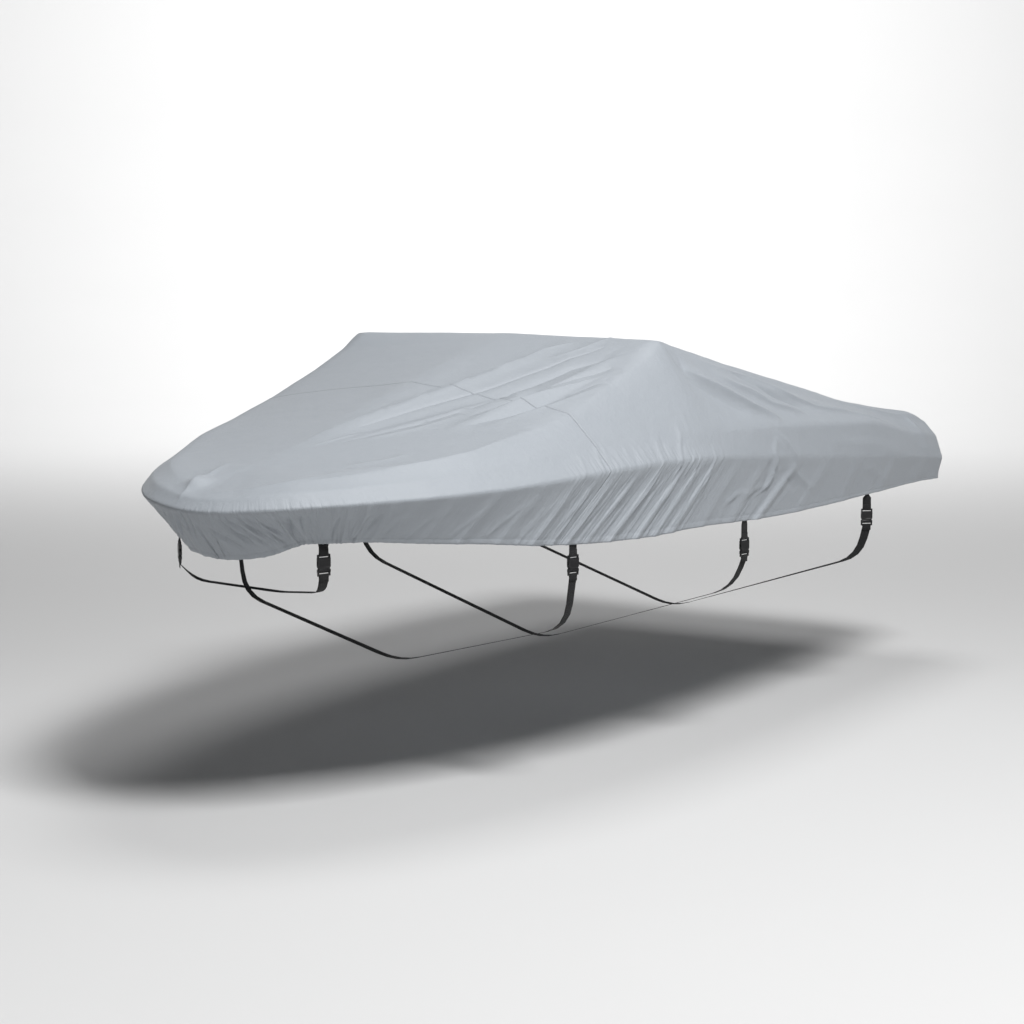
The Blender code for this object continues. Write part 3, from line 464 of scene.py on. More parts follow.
def side_relief(side, distance, drop):
    """How far the creases of the sides lift the cloth, at many places at once."""
    lift = np.zeros_like(distance)
    for sign, rows in ((1, PORT_CREASES), (-1, STARBOARD_CREASES)):
        for crease in rows:
            along, across = along_and_beside(distance, drop, crease.places)
            height = (side == sign) * crease.height
            lift += height * pleat(across, crease.width) * faded(along, CREASE_FADE)
    return lift


def gather_relief(side, distance, share):
    """How far the gathers lift the skirt; share is how much of the drop a place lies down."""
    lift = np.zeros_like(distance)
    for which in (1, -1):
        chance = random.Random(GATHER_SEED + which)
        for gather in GATHERS:
            at = gather.start + gather.spacing * 0.5
            while at < gather.end:
                lean = chance.uniform(*LEANS) * gather.spacing
                top = gather.top + chance.uniform(*TOPS)
                depth = gather.depth * chance.uniform(*DEPTHS)
                width = gather.width * chance.uniform(*WIDTHS)
                rise = np.clip((share - top) / GATHER_RISE, 0.0, 1.0)
                offset = distance - at - lean * (share - 0.5)
                height = (side == which) * depth * pleat(offset, width)
                lift += height * rise * rise * (3 - 2 * rise)
                at += gather.spacing * chance.uniform(*SPACINGS)
    return lift


# ---- the cloth's surface ------------
# A column is one section of one side, from the hem to the centre line.  Its places are numbered by
# level: -1 is the hem, 0 the rail line, 1 the top of the rounded edge, 2 the ridge, 3 the centre.

# hem_at is round the hem; _on is how far abaft the tab a place lies; turn is how many degrees the
# port tab is twisted as it leaves the hem, + towards the stern.
Strap = namedtuple(
    "Strap", "hem_at tab turn chine_half chine_height chine_on keel_height keel_on bend")
STRAPS = [
    Strap(0.468, 0.042, 25, 0.275, 0.828, 0.040, 0.790, 0.170, 0.045),
    Strap(1.541, 0.040, 0, 0.740, 0.622, 0.000, 0.425, 0.000, 0.090),
    Strap(2.623, 0.070, -8, 0.890, 0.640, 0.000, 0.350, 0.000, 0.090),
    Strap(3.806, 0.066, -50, 0.925, 0.625, 0.000, 0.320, 0.000, 0.090),
]
STRAP_FLAT = 0.024          # the hem is flat this far either side of a tab's middle


def fold_knots(side):
    """Distances round the rail line, and round the hem, that the skirt's folds run between."""
    rails = [0.0] + [fold.rail_at for fold in SKIRT_FOLDS] + [GIRTH]
    hems = [fold.port_hem if side > 0 else fold.starboard_hem for fold in SKIRT_FOLDS]
    return rails, [0.0] + hems + [GIRTH]


def strap_flats():
    """(rail, hem) distances of the two columns beside each tab, the same on both sides."""
    rails, hems = fold_knots(1)
    edges = [strap.hem_at + reach for strap in STRAPS for reach in (-STRAP_FLAT, STRAP_FLAT)]
    return [(float(np.interp(hem, hems, rails)), hem) for hem in edges]


def hem_distance(side, distance):
    """Where the column that leaves the rail line at this distance meets the hem."""
    rails, hems = zip(*sorted(list(zip(*fold_knots(side))) + strap_flats()))
    return float(np.interp(distance, rails, hems))


def skirt_relief(side, distance, drop):
    """How far the main folds of the skirt stand out, down the column at this distance."""
    out = np.zeros_like(drop)
    for fold in SKIRT_FOLDS:
        depth = fold.port_depth if side > 0 else fold.starboard_depth
        out += depth * bump(distance - fold.rail_at, fold.width)
    return out * np.minimum(drop / FULL_FOLD, 1.0)


def column_points(side, distance, levels):
    """Places (x, aft, height) down one column, one row for each level."""
    levels = np.asarray(levels, float)
    rail_row = section(way_at(distance))
    rail = rail_point(distance)
    hem_at = hem_distance(side, distance)
    hem_row = section(way_at(hem_at))
    outward = rail_normal(hem_at)
    hem = rail_point(hem_at) - outward * hem_row.hem_in
    pole = np.array([0.0, min(max(rail[1], BOW_POLE), STERN_POLE)])
    reach = np.linalg.norm(pole - rail)
    inward = (pole - rail) / reach
    knots = np.array([0.0, rail_row.edge_in, rail_row.ridge_in, reach])
    heights = np.array([rail_row.rail, rail_row.rail + rail_row.edge_up, rail_row.ridge,
                        crown_height(pole[1])])
    drop = np.maximum(-levels, 0.0)
    inboard = np.interp(levels, [0, 1, 2, 3], knots)
    flat = rail + inward * inboard[:, None]
    skirt = rail + (hem - rail) * drop[:, None]
    skirt += outward * skirt_relief(side, distance, drop)[:, None]
    flat = np.where(levels[:, None] < 0, skirt, flat)
    height = np.where(levels < 0, rail_row.rail + (hem_row.hem - rail_row.rail) * drop,
                      curve(inboard, knots, heights, taut_at(rail[1])))
    return np.column_stack([side * flat[:, 0], flat[:, 1], height])


def place(x, aft, height):
    """A place on the cover, in the frame."""
    return Vector((x, aft - APEX_AFT, height - APEX_HEIGHT))


# ---- making the cloth ------------
EASE = 0.009                # corners of a column are eased over this length either side
HEM_DROP = 0.26             # how far the cloth map runs up from the hem to the rail line
HEM_DEPTH = 0.024           # the hem's stitching is this far above its edge
HEM_RISE = 0.0010           # the doubled cloth of the hem stands proud by this
STITCH_SINK = 0.0012        # and is drawn in by this along its stitching,
STITCH_WIDTH = 0.004        # over this width
TAB_ROOM = 0.0012           # how far the cloth stands off over a tab
TAB_FADE = 0.015            # and over what length it comes back beside the tab
TAB_TOP = 0.35              # share of the drop where this starts, and how soon it is complete
TAB_RISE = 0.15
SEAM_LAP = 0.0065           # from the cross seam to the middle of its lap
SEAM_RISE = 0.0006          # the lapped seam stands proud by this
SEAM_WIDTH = 0.006
TOP_LEVEL = 0.4             # the top's folds have their full height from this level
SLACK = 0.0016              # height of the cloth's soft unevenness
MERGE = 0.0001              # corners nearer than this are one
DENSE = np.concatenate([np.linspace(-1, 0, 50), np.linspace(0, 1, 24)[1:],
                        np.linspace(1, 2, 36)[1:], np.linspace(2, 3, 60)[1:]])
CREASE_CUTS = (-1.5, -0.7, -0.3, 0.0, 0.3, 0.7, 1.5)       # in widths of a crease
FOLD_CUTS = (-1.6, -1.0, -0.5, 0.0, 0.5, 1.0, 1.6)         # in widths of a fold
CUT_LEVEL = 0.2             # only faces above this level are cut,
CUT_REACH = 1.7             # within this many widths of a line
CUT_MARGIN = 0.02           # and this much more to its sides,
CUT_OVERRUN = 0.012         # and this much past its ends
CUT_SNAP = 0.0005           # a cut goes through corners nearer than this
Rows = namedtuple("Rows", "from_level to_level count")
ROWS = [Rows(-1.0, -0.86, 6), Rows(-0.86, 0, 19), Rows(0, 1, 10), Rows(1, 2, 12), Rows(2, 3, 14)]
Stretch = namedtuple("Stretch", "start end spacing")
FORE_STRETCHES = [Stretch(0.0, 0.42, 0.0036), Stretch(0.42, 0.66, 0.0052),
                  Stretch(0.66, 1.40, 0.0085), Stretch(1.40, 9.0, 0.0058)]
MAIN_STRETCHES = [Stretch(0.0, 2.45, 0.0070), Stretch(2.45, 3.3, 0.0130),
                  Stretch(3.3, 4.2, 0.0340), Stretch(4.2, 9.0, 0.0260)]


def eased_column(side, distance):
    """Rows of one column with its corners eased: places, drop below the rail line, and level."""
    points = column_points(side, distance, DENSE)
    up = np.concatenate([[0.0], np.cumsum(np.linalg.norm(np.diff(points, axis=0), axis=1))])
    steps = np.diff(up)[:, None] * (points[1:] + points[:-1]) / 2
    total = np.concatenate([np.zeros((1, 3)), np.cumsum(steps, axis=0)])
    levels = np.concatenate([np.linspace(row.from_level, row.to_level, row.count + 1)[:-1]
                             for row in ROWS] + [[3.0]])
    at = np.interp(levels, DENSE, up)
    reach = np.clip(np.minimum(at, up[-1] - at), 1e-6, EASE)
    eased = [(np.interp(at + reach, up, sums) - np.interp(at - reach, up, sums)) / (2 * reach)
             for sums in total.T]
    places = np.column_stack(eased)
    places[0], places[-1] = points[0], points[-1]
    return places, np.interp(0.0, DENSE, up) - at, levels


NARROWEST = 0.002           # no column of the cloth is narrower than this


def stretch_distances(start, end, stretches):
    """Distances round the rail line of the columns of a panel, spaced as the stretches say."""
    at, found = start, [start]
    while at < end - NARROWEST / 2:
        spacing = next(stretch.spacing for stretch in stretches if at < stretch.end - 1e-6)
        at = min(at + spacing, end)
        found.append(at)
    if len(found) > 2 and found[-1] - found[-2] < NARROWEST:
        del found[-2]
    return found


PLACE_LABELS = ("side", "round", "drop", "level")      # what each corner keeps of its place


def cloth_grid(name, distances):
    """Both sides of a panel as one smooth sheet, with each corner's place in the cloth."""
    places, faces, facts = [], [], []
    for side in (1, -1):
        for j, distance in enumerate(distances):
            rows, drop, levels = eased_column(side, distance)
            near = len(places)
            places += rows.tolist()
            facts += [(side, distance, d, level) for d, level in zip(drop, levels)]
            if j + 1 < len(distances):
                far = near + len(rows)
                for i in range(len(rows) - 1):
                    loop = (near + i, far + i, far + i + 1, near + i + 1)
                    faces.append(loop if side > 0 else loop[::-1])
    places = np.array(places) - np.array([0.0, APEX_AFT, APEX_HEIGHT])
    mesh = bpy.data.meshes.new(name)
    mesh.from_pydata(places.tolist(), [], faces)
    for label, values in zip(PLACE_LABELS, np.array(facts).T):
        layer = mesh.attributes.new(label, "FLOAT", "POINT")
        layer.data.foreach_set("value", np.ascontiguousarray(values, dtype=np.float32))
    return mesh


def cut_lines():
    """Every straight stretch of the top's folds and creases: its ends, its widths and its cuts."""
    lines = [((fold.x1, fold.aft1), (fold.x2, fold.aft2), fold, FOLD_CUTS) for fold in TOP_FOLDS]
    for crease in TOP_CREASES:
        lines += [(near, far, crease, CREASE_CUTS)
                  for near, far in zip(crease.places, crease.places[1:])]
    return lines


def cut_creases(bm):
    """Puts edges along each fold of the top and on both its slopes, so that it stays crisp."""
    level_of = bm.verts.layers.float["level"]
    for near, far, fold, cuts in cut_lines():
        start = Vector((near[0], near[1] - APEX_AFT, 0.0))
        run = Vector((far[0] - near[0], far[1] - near[1], 0.0))
        length = run.length
        run.normalize()
        right = Vector((run.y, -run.x, 0.0))
        most = CUT_REACH * fold.port_width + CUT_MARGIN
        least = -CUT_REACH * fold.starboard_width - CUT_MARGIN
        faces = []
        for face in bm.faces:
            corner = face.verts[0].co - start
            beside, along = corner.dot(right), corner.dot(run)
            if least < beside < most and -CUT_OVERRUN < along < length + CUT_OVERRUN:
                if min(corner[level_of] for corner in face.verts) > CUT_LEVEL:
                    faces.append(face)
        geom = list({corner for face in faces for corner in face.verts})
        geom += list({edge for face in faces for edge in face.edges}) + faces
        for share in cuts:
            width = fold.port_width if share > 0 else fold.starboard_width
            geom = bmesh.ops.bisect_plane(bm, geom=geom, dist=CUT_SNAP, plane_no=right,
                                          plane_co=start + right * (share * width))["geom"]


def cloth_places(mesh):
    """Side, distance round, drop and level of every corner."""
    found = []
    for label in PLACE_LABELS:
        values = np.zeros(len(mesh.vertices), np.float32)
        mesh.attributes[label].data.foreach_get("value", values)
        found.append(values.astype(float))
    return found


def tab_share(distance, level):
    """1 where the skirt lies over a tab, and 0 well clear of it."""
    share = np.zeros_like(distance)
    flats = [rail for rail, hem in strap_flats()]
    for near, far in zip(flats[::2], flats[1::2]):
        beyond = np.abs(distance - (near + far) / 2) - (far - near) / 2
        share = np.maximum(share, np.clip(1.0 - beyond / TAB_FADE, 0.0, 1.0))
    return share * np.clip((-level - TAB_TOP) / TAB_RISE, 0.0, 1.0)


def fold_cloth(mesh, crease_height, gather_depth):
    """Moves every corner along its normal by all the folds, creases, gathers, hem and seam."""
    count = len(mesh.vertices)
    places, normals = np.zeros(count * 3), np.zeros(count * 3)
    mesh.vertices.foreach_get("co", places)
    mesh.vertex_normals.foreach_get("vector", normals)
    places, normals = places.reshape(-1, 3), normals.reshape(-1, 3)
    side, distance, drop, level = cloth_places(mesh)
    side = np.where(side > 0, 1, -1)
    x, aft = places[:, 0], places[:, 1] + APEX_AFT
    on_top = np.clip(level / TOP_LEVEL, 0.0, 1.0)
    share = np.clip(-level, 0.0, 1.0)
    lift = (top_relief(x, aft) + crease_height * crease_relief(x, aft)) * on_top
    lift += crease_height * side_relief(side, distance, drop)
    lift += gather_depth * gather_relief(side, distance, share)
    at_tab = tab_share(distance, level)
    lift += at_tab * (np.maximum(-lift, 0.0) + TAB_ROOM)
    slack = np.array([noise.noise(Vector(place) * 5.0) + 0.5 * noise.noise(Vector(place) * 13.0)
                      for place in places])
    lift += SLACK * slack
    hem_up = np.where(level < 0, (1.0 + level) * HEM_DROP, 1.0)
    lift += HEM_RISE * (hem_up < HEM_DEPTH) - STITCH_SINK * bump(hem_up - HEM_DEPTH, STITCH_WIDTH)
    lift += SEAM_RISE * bump(distance - distance_at(SEAM_AFT) - SEAM_LAP, SEAM_WIDTH)
    places += normals * lift[:, None]
    mesh.vertices.foreach_set("co", places.ravel())
    mesh.update()


def cloth_map(mesh):
    """A UV map in metres: along the rail line, and up from the hem."""
    layer = mesh.uv_layers.new(name="cloth")
    side, distance, drop, level = cloth_places(mesh)
    corner = np.zeros(len(mesh.loops), np.int32)
    mesh.loops.foreach_get("vertex_index", corner)
    up = np.where(level < 0, (1.0 + level) * HEM_DROP, HEM_DROP - drop)
    flat = np.column_stack([distance[corner], up[corner]])
    layer.data.foreach_set("uv", flat.ravel().astype(np.float32))


# ---- webbing ------------
def rounded(corners, radius, steps):
    """Points along straight runs between corners, each inner corner rounded off."""
    points = [corners[0]]
    for before, corner, after in zip(corners, corners[1:], corners[2:]):
        start = corner + (before - corner).normalized() * radius
        end = corner + (after - corner).normalized() * radius
        for i in range(steps + 1):
            t = i / steps
            points.append(start * (1 - t) ** 2 + corner * 2 * t * (1 - t) + end * t ** 2)
    return points + [corners[-1]]


def bar_loop(sign):
    """(out, up) of webbing sewn round a bar at (0, 0), from its main run to its sewn end."""
    arc = [math.pi * i / LOOP_STEPS for i in range(LOOP_STEPS + 1)]
    turn = [(-LOOP_RADIUS * math.cos(at), -sign * LOOP_RADIUS * math.sin(at)) for at in arc]
    lead, end = (-SEWN_OFFSET, sign * SEWN_START), (SEWN_OFFSET, sign * SEWN_START)
    return [lead] + turn + [end, (SEWN_OFFSET, sign * SEWN_END)]


ABOVE_HEM = -0.72           # level from which a tab's own slope is read


class Hanging:
    """Where a tab hangs: its place on the hem, and the directions of its width and its face."""

    def __init__(self, side, strap):
        edges = [rail for rail, hem in strap_flats() if abs(hem - strap.hem_at) < 2 * STRAP_FLAT]
        above, hem = [sum((place(*column_points(side, rail, [level])[0]) for rail in edges),
                          Vector()) / 2 for level in (ABOVE_HEM, -1.0)]
        near, far = [place(*column_points(side, rail, [-1.0])[0]) for rail in edges]
        normal = (far - near).cross(above - hem).normalized() * side
        self.sewn = UP.cross(normal).normalized()
        up_cloth = normal.cross(self.sewn)
        twist = math.radians(strap.turn) if side > 0 else 0.0
        self.wide = Matrix.Rotation(twist, 3, "Z") @ self.sewn
        self.out = self.wide.cross(UP)
        self.bend = hem - normal * (CLOTH + TAB_GAP + WEBBING_THICKNESS / 2) - up_cloth * HEM_CLEAR
        self.root = self.bend + up_cloth * TAB_SEWN
        self.bar = self.bend + self.out * SEWN_OFFSET - UP * strap.tab

    def at(self, out, up):
        """A point in the plane of the hanging webbing, from the middle of the upper bar."""
        return self.bar + self.out * out + UP * up

    def frame(self):
        """Brings a buckle's places, x along the hem, y in from the skirt, z up, into the frame."""
        turn = Matrix((self.wide, -self.out, UP)).transposed()
        return Matrix.Translation(self.bar) @ turn.to_4x4()


# Section of woven webbing in halves of its width and its thickness, round its soft selvedges.
SELVEDGE = [(-0.90, -0.86), (-0.45, -1.0), (0.45, -1.0), (0.90, -0.86), (1.0, 0.0), (0.90, 0.86),
            (0.45, 1.0), (-0.45, 1.0), (-0.90, 0.86), (-1.0, 0.0)]


def webbing_mesh(name, path, acrosses):
    """Webbing along a path, with a UV map in metres: across it, and along it."""
    bm = bmesh.new()
    unwrap = bm.loops.layers.uv.new("strap")
    rings, runs, run = [], [], 0.0
    for i, middle in enumerate(path):
        along = (path[min(i + 1, len(path) - 1)] - path[max(i - 1, 0)]).normalized()
        wide = (acrosses[i] - along * along.dot(acrosses[i])).normalized()
        thick = along.cross(wide)
        rings.append([bm.verts.new(middle + wide * (x * WEBBING_WIDTH / 2)
                                   + thick * (y * WEBBING_THICKNESS / 2)) for x, y in SELVEDGE])
        run += (middle - path[max(i - 1, 0)]).length
        runs.append(run)
    count = len(SELVEDGE)
    width = [x * WEBBING_WIDTH / 2 for x, y in SELVEDGE]
    for near, far, start, end in zip(rings, rings[1:], runs, runs[1:]):
        for i in range(count):
            j = (i + 1) % count
            face = bm.faces.new((near[i], near[j], far[j], far[i]))
            for loop, uv in zip(face.loops, ((width[i], start), (width[j], start),
                                             (width[j], end), (width[i], end))):
                loop[unwrap].uv = uv
    for ring, turned, at in ((rings[0], -1, runs[0]), (rings[-1], 1, runs[-1])):
        face = bm.faces.new(ring[::turned])
        for loop, across in zip(face.loops, width[::turned]):
            loop[unwrap].uv = (across, at)
    bmesh.ops.recalc_face_normals(bm, faces=bm.faces)
    mesh = bpy.data.meshes.new(name)
    bm.to_mesh(mesh)
    bm.free()
    return mesh


def hangings():
    """Where each tab hangs, and how its nodes are labelled."""
    for number, strap in enumerate(STRAPS, 1):
        for side, label in ((1, "port"), (-1, "starboard")):
            yield Hanging(side, strap), f"{label}_{number}"


def tab_path(hanging):
    """The short webbing from inside the hem to the socket's bar, and its width at each point."""
    path = [hanging.root, hanging.bend, hanging.bend - UP * TWIST_LENGTH]
    path += [hanging.at(*point) for point in bar_loop(1)]
    return path, [hanging.sewn] * 2 + [hanging.wide] * (len(path) - 2)


def belly_path(strap):
    """The long webbing from the port plug down, across and up to the starboard plug, and the
    direction of its width at each point."""
    port, starboard = Hanging(1, strap), Hanging(-1, strap)
    loops = [[hanging.at(out, up - PLUG_BAR) for out, up in bar_loop(-1)]
             for hanging in (port, starboard)]
    tab_aft = port.bar.y + APEX_AFT
    chines = [place(side * strap.chine_half, tab_aft + strap.chine_on, strap.chine_height)
              for side in (1, -1)]
    keel = place(0.0, tab_aft + strap.keel_on, strap.keel_height)
    under = rounded([loops[0][0], chines[0], keel, chines[1], loops[1][0]], strap.bend, BEND_STEPS)
    path = loops[0][:0:-1] + under + loops[1][1:]
    top, bottom = port.bar.z - PLUG_BAR - SEWN_END, keel.z
    acrosses = []
    for point in path:
        share = min(max((point.z - bottom) / (top - bottom), 0.0), 1.0)
        hanging = port if point.x > 0 else starboard
        wide = hanging.wide * (1.0 if hanging.wide.y > 0 else -1.0)
        acrosses.append(wide * share + AFT * (1.0 - share))
    return path, acrosses


# ---- buckles ------------
WELD = 0.00002              # corners of a CAD mesh nearer than this are one
FLAT = math.radians(2.0)    # faces that meet at less than this are one
SHARP = math.radians(35.0)  # edges sharper than this are rounded
SMOOTH = math.radians(40.0)  # and those sharper than this are shaded as edges
BEVEL_STEPS = 3


def add_object(name, data):
    made = bpy.data.objects.new(name, data)
    bpy.context.scene.collection.objects.link(made)
    return made


def deselect():
    if bpy.context.object and bpy.context.object.mode != "OBJECT":
        bpy.ops.object.mode_set(mode="OBJECT")
    bpy.ops.object.select_all(action="DESELECT")


def activate(thing):
    """Selects one object alone, for the operators that follow."""
    deselect()
    thing.select_set(True)
    bpy.context.view_layer.objects.active = thing


def edit(thing):
    """Opens a piece in edit mode, with nothing of it selected."""
    activate(thing)
    bpy.ops.object.mode_set(mode="EDIT")
    bpy.ops.mesh.select_mode(type="FACE")
    bpy.ops.mesh.select_all(action="DESELECT")


def select_faces(thing, wanted):
    """Selects the faces for which wanted(centre, normal, area) holds."""
    bm = bmesh.from_edit_mesh(thing.data)
    bm.faces.ensure_lookup_table()
    found = 0
    for face in bm.faces:
        face.select = wanted(face.calc_center_median(), face.normal, face.calc_area())
        found += face.select
    bm.select_flush_mode()
    bmesh.update_edit_mesh(thing.data)
    if not found:
        raise RuntimeError(f"no face of {thing.name} is where it was expected")


def loose_part(node, hanging, name):
    """A merged copy of a CAD node's mesh in a buckle's own axes, as a new object."""
    made = add_object(name, bpy.data.objects[node].data.copy())
    made.data.name = name
    made.data.materials.clear()
    made.data.transform(hanging.frame().inverted())
    edit(made)
    bpy.ops.mesh.select_all(action="SELECT")
    bpy.ops.mesh.remove_doubles(threshold=WELD)
    bpy.ops.mesh.dissolve_limited(angle_limit=FLAT)
    bpy.ops.mesh.select_all(action="DESELECT")
    return made


def finish_moulding(thing, radius):
    """Rounds the edges of a moulded part, as a mould leaves them."""
    bpy.ops.object.mode_set(mode="OBJECT")
    soft = thing.modifiers.new("Moulded edges", "BEVEL")
    soft.width = radius
    soft.segments = BEVEL_STEPS
    soft.limit_method = "ANGLE"
    soft.angle_limit = SHARP
    soft.use_clamp_overlap = True
    bpy.ops.object.modifier_apply(modifier=soft.name)
    bpy.ops.object.shade_smooth_by_angle(angle=SMOOTH)


# What is inset on each half's face and back: the socket has a sunk panel, and the plug a raised
# grip on its flange.  Only faces larger than area, and farther out than beyond, have one.
Inset = namedtuple("Inset", "beyond area margin step depth")
INSETS = {"socket": Inset(0.0, 0.0008, 0.0045, 0.0008, -0.0006),
          "plug": Inset(0.0045, 0.0003, 0.0028, 0.0006, 0.0005)}
FACING = 0.99               # cosine between a face's normal and the way it counts as facing


def buckle_half(half, hanging, radius):
    """One half of the buckle, with its insets and rounded edges, as a pattern to copy."""
    made = loose_part(f"{half}_port_1", hanging, f"{half}_pattern")
    inset = INSETS[half]
    for way in (-1, 1):
        select_faces(made, lambda centre, normal, area: normal.y * way > FACING
                     and abs(centre.y) > inset.beyond and area > inset.area)
        bpy.ops.mesh.inset(thickness=inset.margin, depth=0.0)
        bpy.ops.mesh.inset(thickness=inset.step, depth=inset.depth)
        bpy.ops.mesh.select_all(action="DESELECT")
    finish_moulding(made, radius)
    return made


# ---- finishes ------------
class Wire:
    """An output of a node in a finish; arithmetic on it adds Math nodes."""

    def __init__(self, finish, socket):
        self.finish, self.socket = finish, socket

    def math(self, operation, *others):
        made = self.finish.tree.nodes.new("ShaderNodeMath")
        made.operation = operation
        for socket, value in zip(made.inputs, (self,) + others):
            self.finish.feed(socket, value)
        return Wire(self.finish, made.outputs[0])

    def __add__(self, other):
        return self.math("ADD", other)

    def __mul__(self, other):
        return self.math("MULTIPLY", other)

    def __sub__(self, other):
        return self.math("SUBTRACT", other)

    def __rsub__(self, other):
        return self.math("MULTIPLY_ADD", -1.0, other)

    __radd__ = __add__
    __rmul__ = __mul__

    def wave(self, length):
        """A sine along this value, one wave to each length."""
        return (self * (2 * math.pi / length)).math("SINE")

    def rise(self, start, end):
        """0 before start and 1 after end, with a smooth rise between them."""
        return self.finish.node("ShaderNodeMapRange", {"interpolation_type": "SMOOTHSTEP"},
                                {"Value": self, "From Min": start, "From Max": end})

    def line(self, at, width):
        """1 on a line at this value, and 0 beyond its width."""
        return 1.0 - (self - at).math("ABSOLUTE").rise(width * 0.35, width)

    def between(self, start, end, soft):
        return self.rise(start - soft, start + soft) * (1.0 - self.rise(end - soft, end + soft))


class Finish:
    """A node material in the making."""

    def __init__(self, name, roughness, **constants):
        self.material = bpy.data.materials.new(name)
        self.material.use_nodes = True
        self.tree = self.material.node_tree
        self.shader = self.tree.nodes["Principled BSDF"]
        self.shader.inputs["Roughness"].default_value = roughness
        for label, value in constants.items():
            self.shader.inputs[label.replace("_", " ")].default_value = value

    def feed(self, socket, value):
        if isinstance(value, Wire):
            self.tree.links.new(value.socket, socket)
        else:
            socket.default_value = value

    def node(self, kind, settings=None, values=None, output=0):
        """Adds a node, sets what it does, and then the values or links of its sockets."""
        made = self.tree.nodes.new(kind)
        for label, value in (settings or {}).items():
            setattr(made, label, value)
        for label, value in (values or {}).items():
            self.feed(made.inputs[label], value)
        return Wire(self, made.outputs[output])

    def object_place(self):
        return self.node("ShaderNodeTexCoord", output="Object")

    def map_place(self, name):
        return self.node("ShaderNodeUVMap", {"uv_map": name})

    def parts(self, vector):
        """The three numbers of a place."""
        split = self.node("ShaderNodeSeparateXYZ", values={"Vector": vector}).socket.node
        return [Wire(self, socket) for socket in split.outputs]

    def joined(self, x, y):
        return self.node("ShaderNodeCombineXYZ", values={"X": x, "Y": y})

    def grain(self, vector, scale, detail, roughness):
        return self.node("ShaderNodeTexNoise", {"noise_dimensions": "3D"},
                         {"Vector": vector, "Scale": scale, "Detail": detail,
                          "Roughness": roughness})

    def mix(self, share, first, second):
        """A colour part of the way from the first to the second."""
        made = self.tree.nodes.new("ShaderNodeMix")
        made.data_type = "RGBA"
        made.blend_type = "MIX"
        self.feed(made.inputs[0], share)
        self.feed(made.inputs[6], first)
        self.feed(made.inputs[7], second)
        return Wire(self, made.outputs[2])

    def bump(self, height, depth, under=None):
        values = {"Height": height, "Distance": depth, "Strength": 1.0}
        if under is not None:
            values["Normal"] = under
        return self.node("ShaderNodeBump", values=values)

    def done(self, **inputs):
        """Feeds what varies into the shader and gives the material."""
        for label, value in inputs.items():
            self.feed(self.shader.inputs[label.replace("_", " ")], value)
        return self.material


# The cloth's finish: one stitch with its gap, the lines of stitches and the line of painted shade
# along the welt beside the seam, and how deep each pattern stands.
STITCH_PITCH = 0.0065
SEAM_STITCHES = 0.004       # each of the two lines is this far from the middle of the lap
WELT = 0.0095               # and the raised welt this far, on its after side
# The third width is that of a line of painted shade along the welt, beside the raised lap.
LINE_WIDTH, HEM_LINE_WIDTH, WELT_SHADE_WIDTH = 0.0011, 0.0012, 0.0028
PULL_DEPTH, CRINKLE_DEPTH, STITCH_DEPTH, WEAVE_DEPTH = 0.008, 0.004, -0.0005, 0.00012


def shade(color, factor):
    return tuple(channel * factor for channel in color[:3]) + (1.0,)


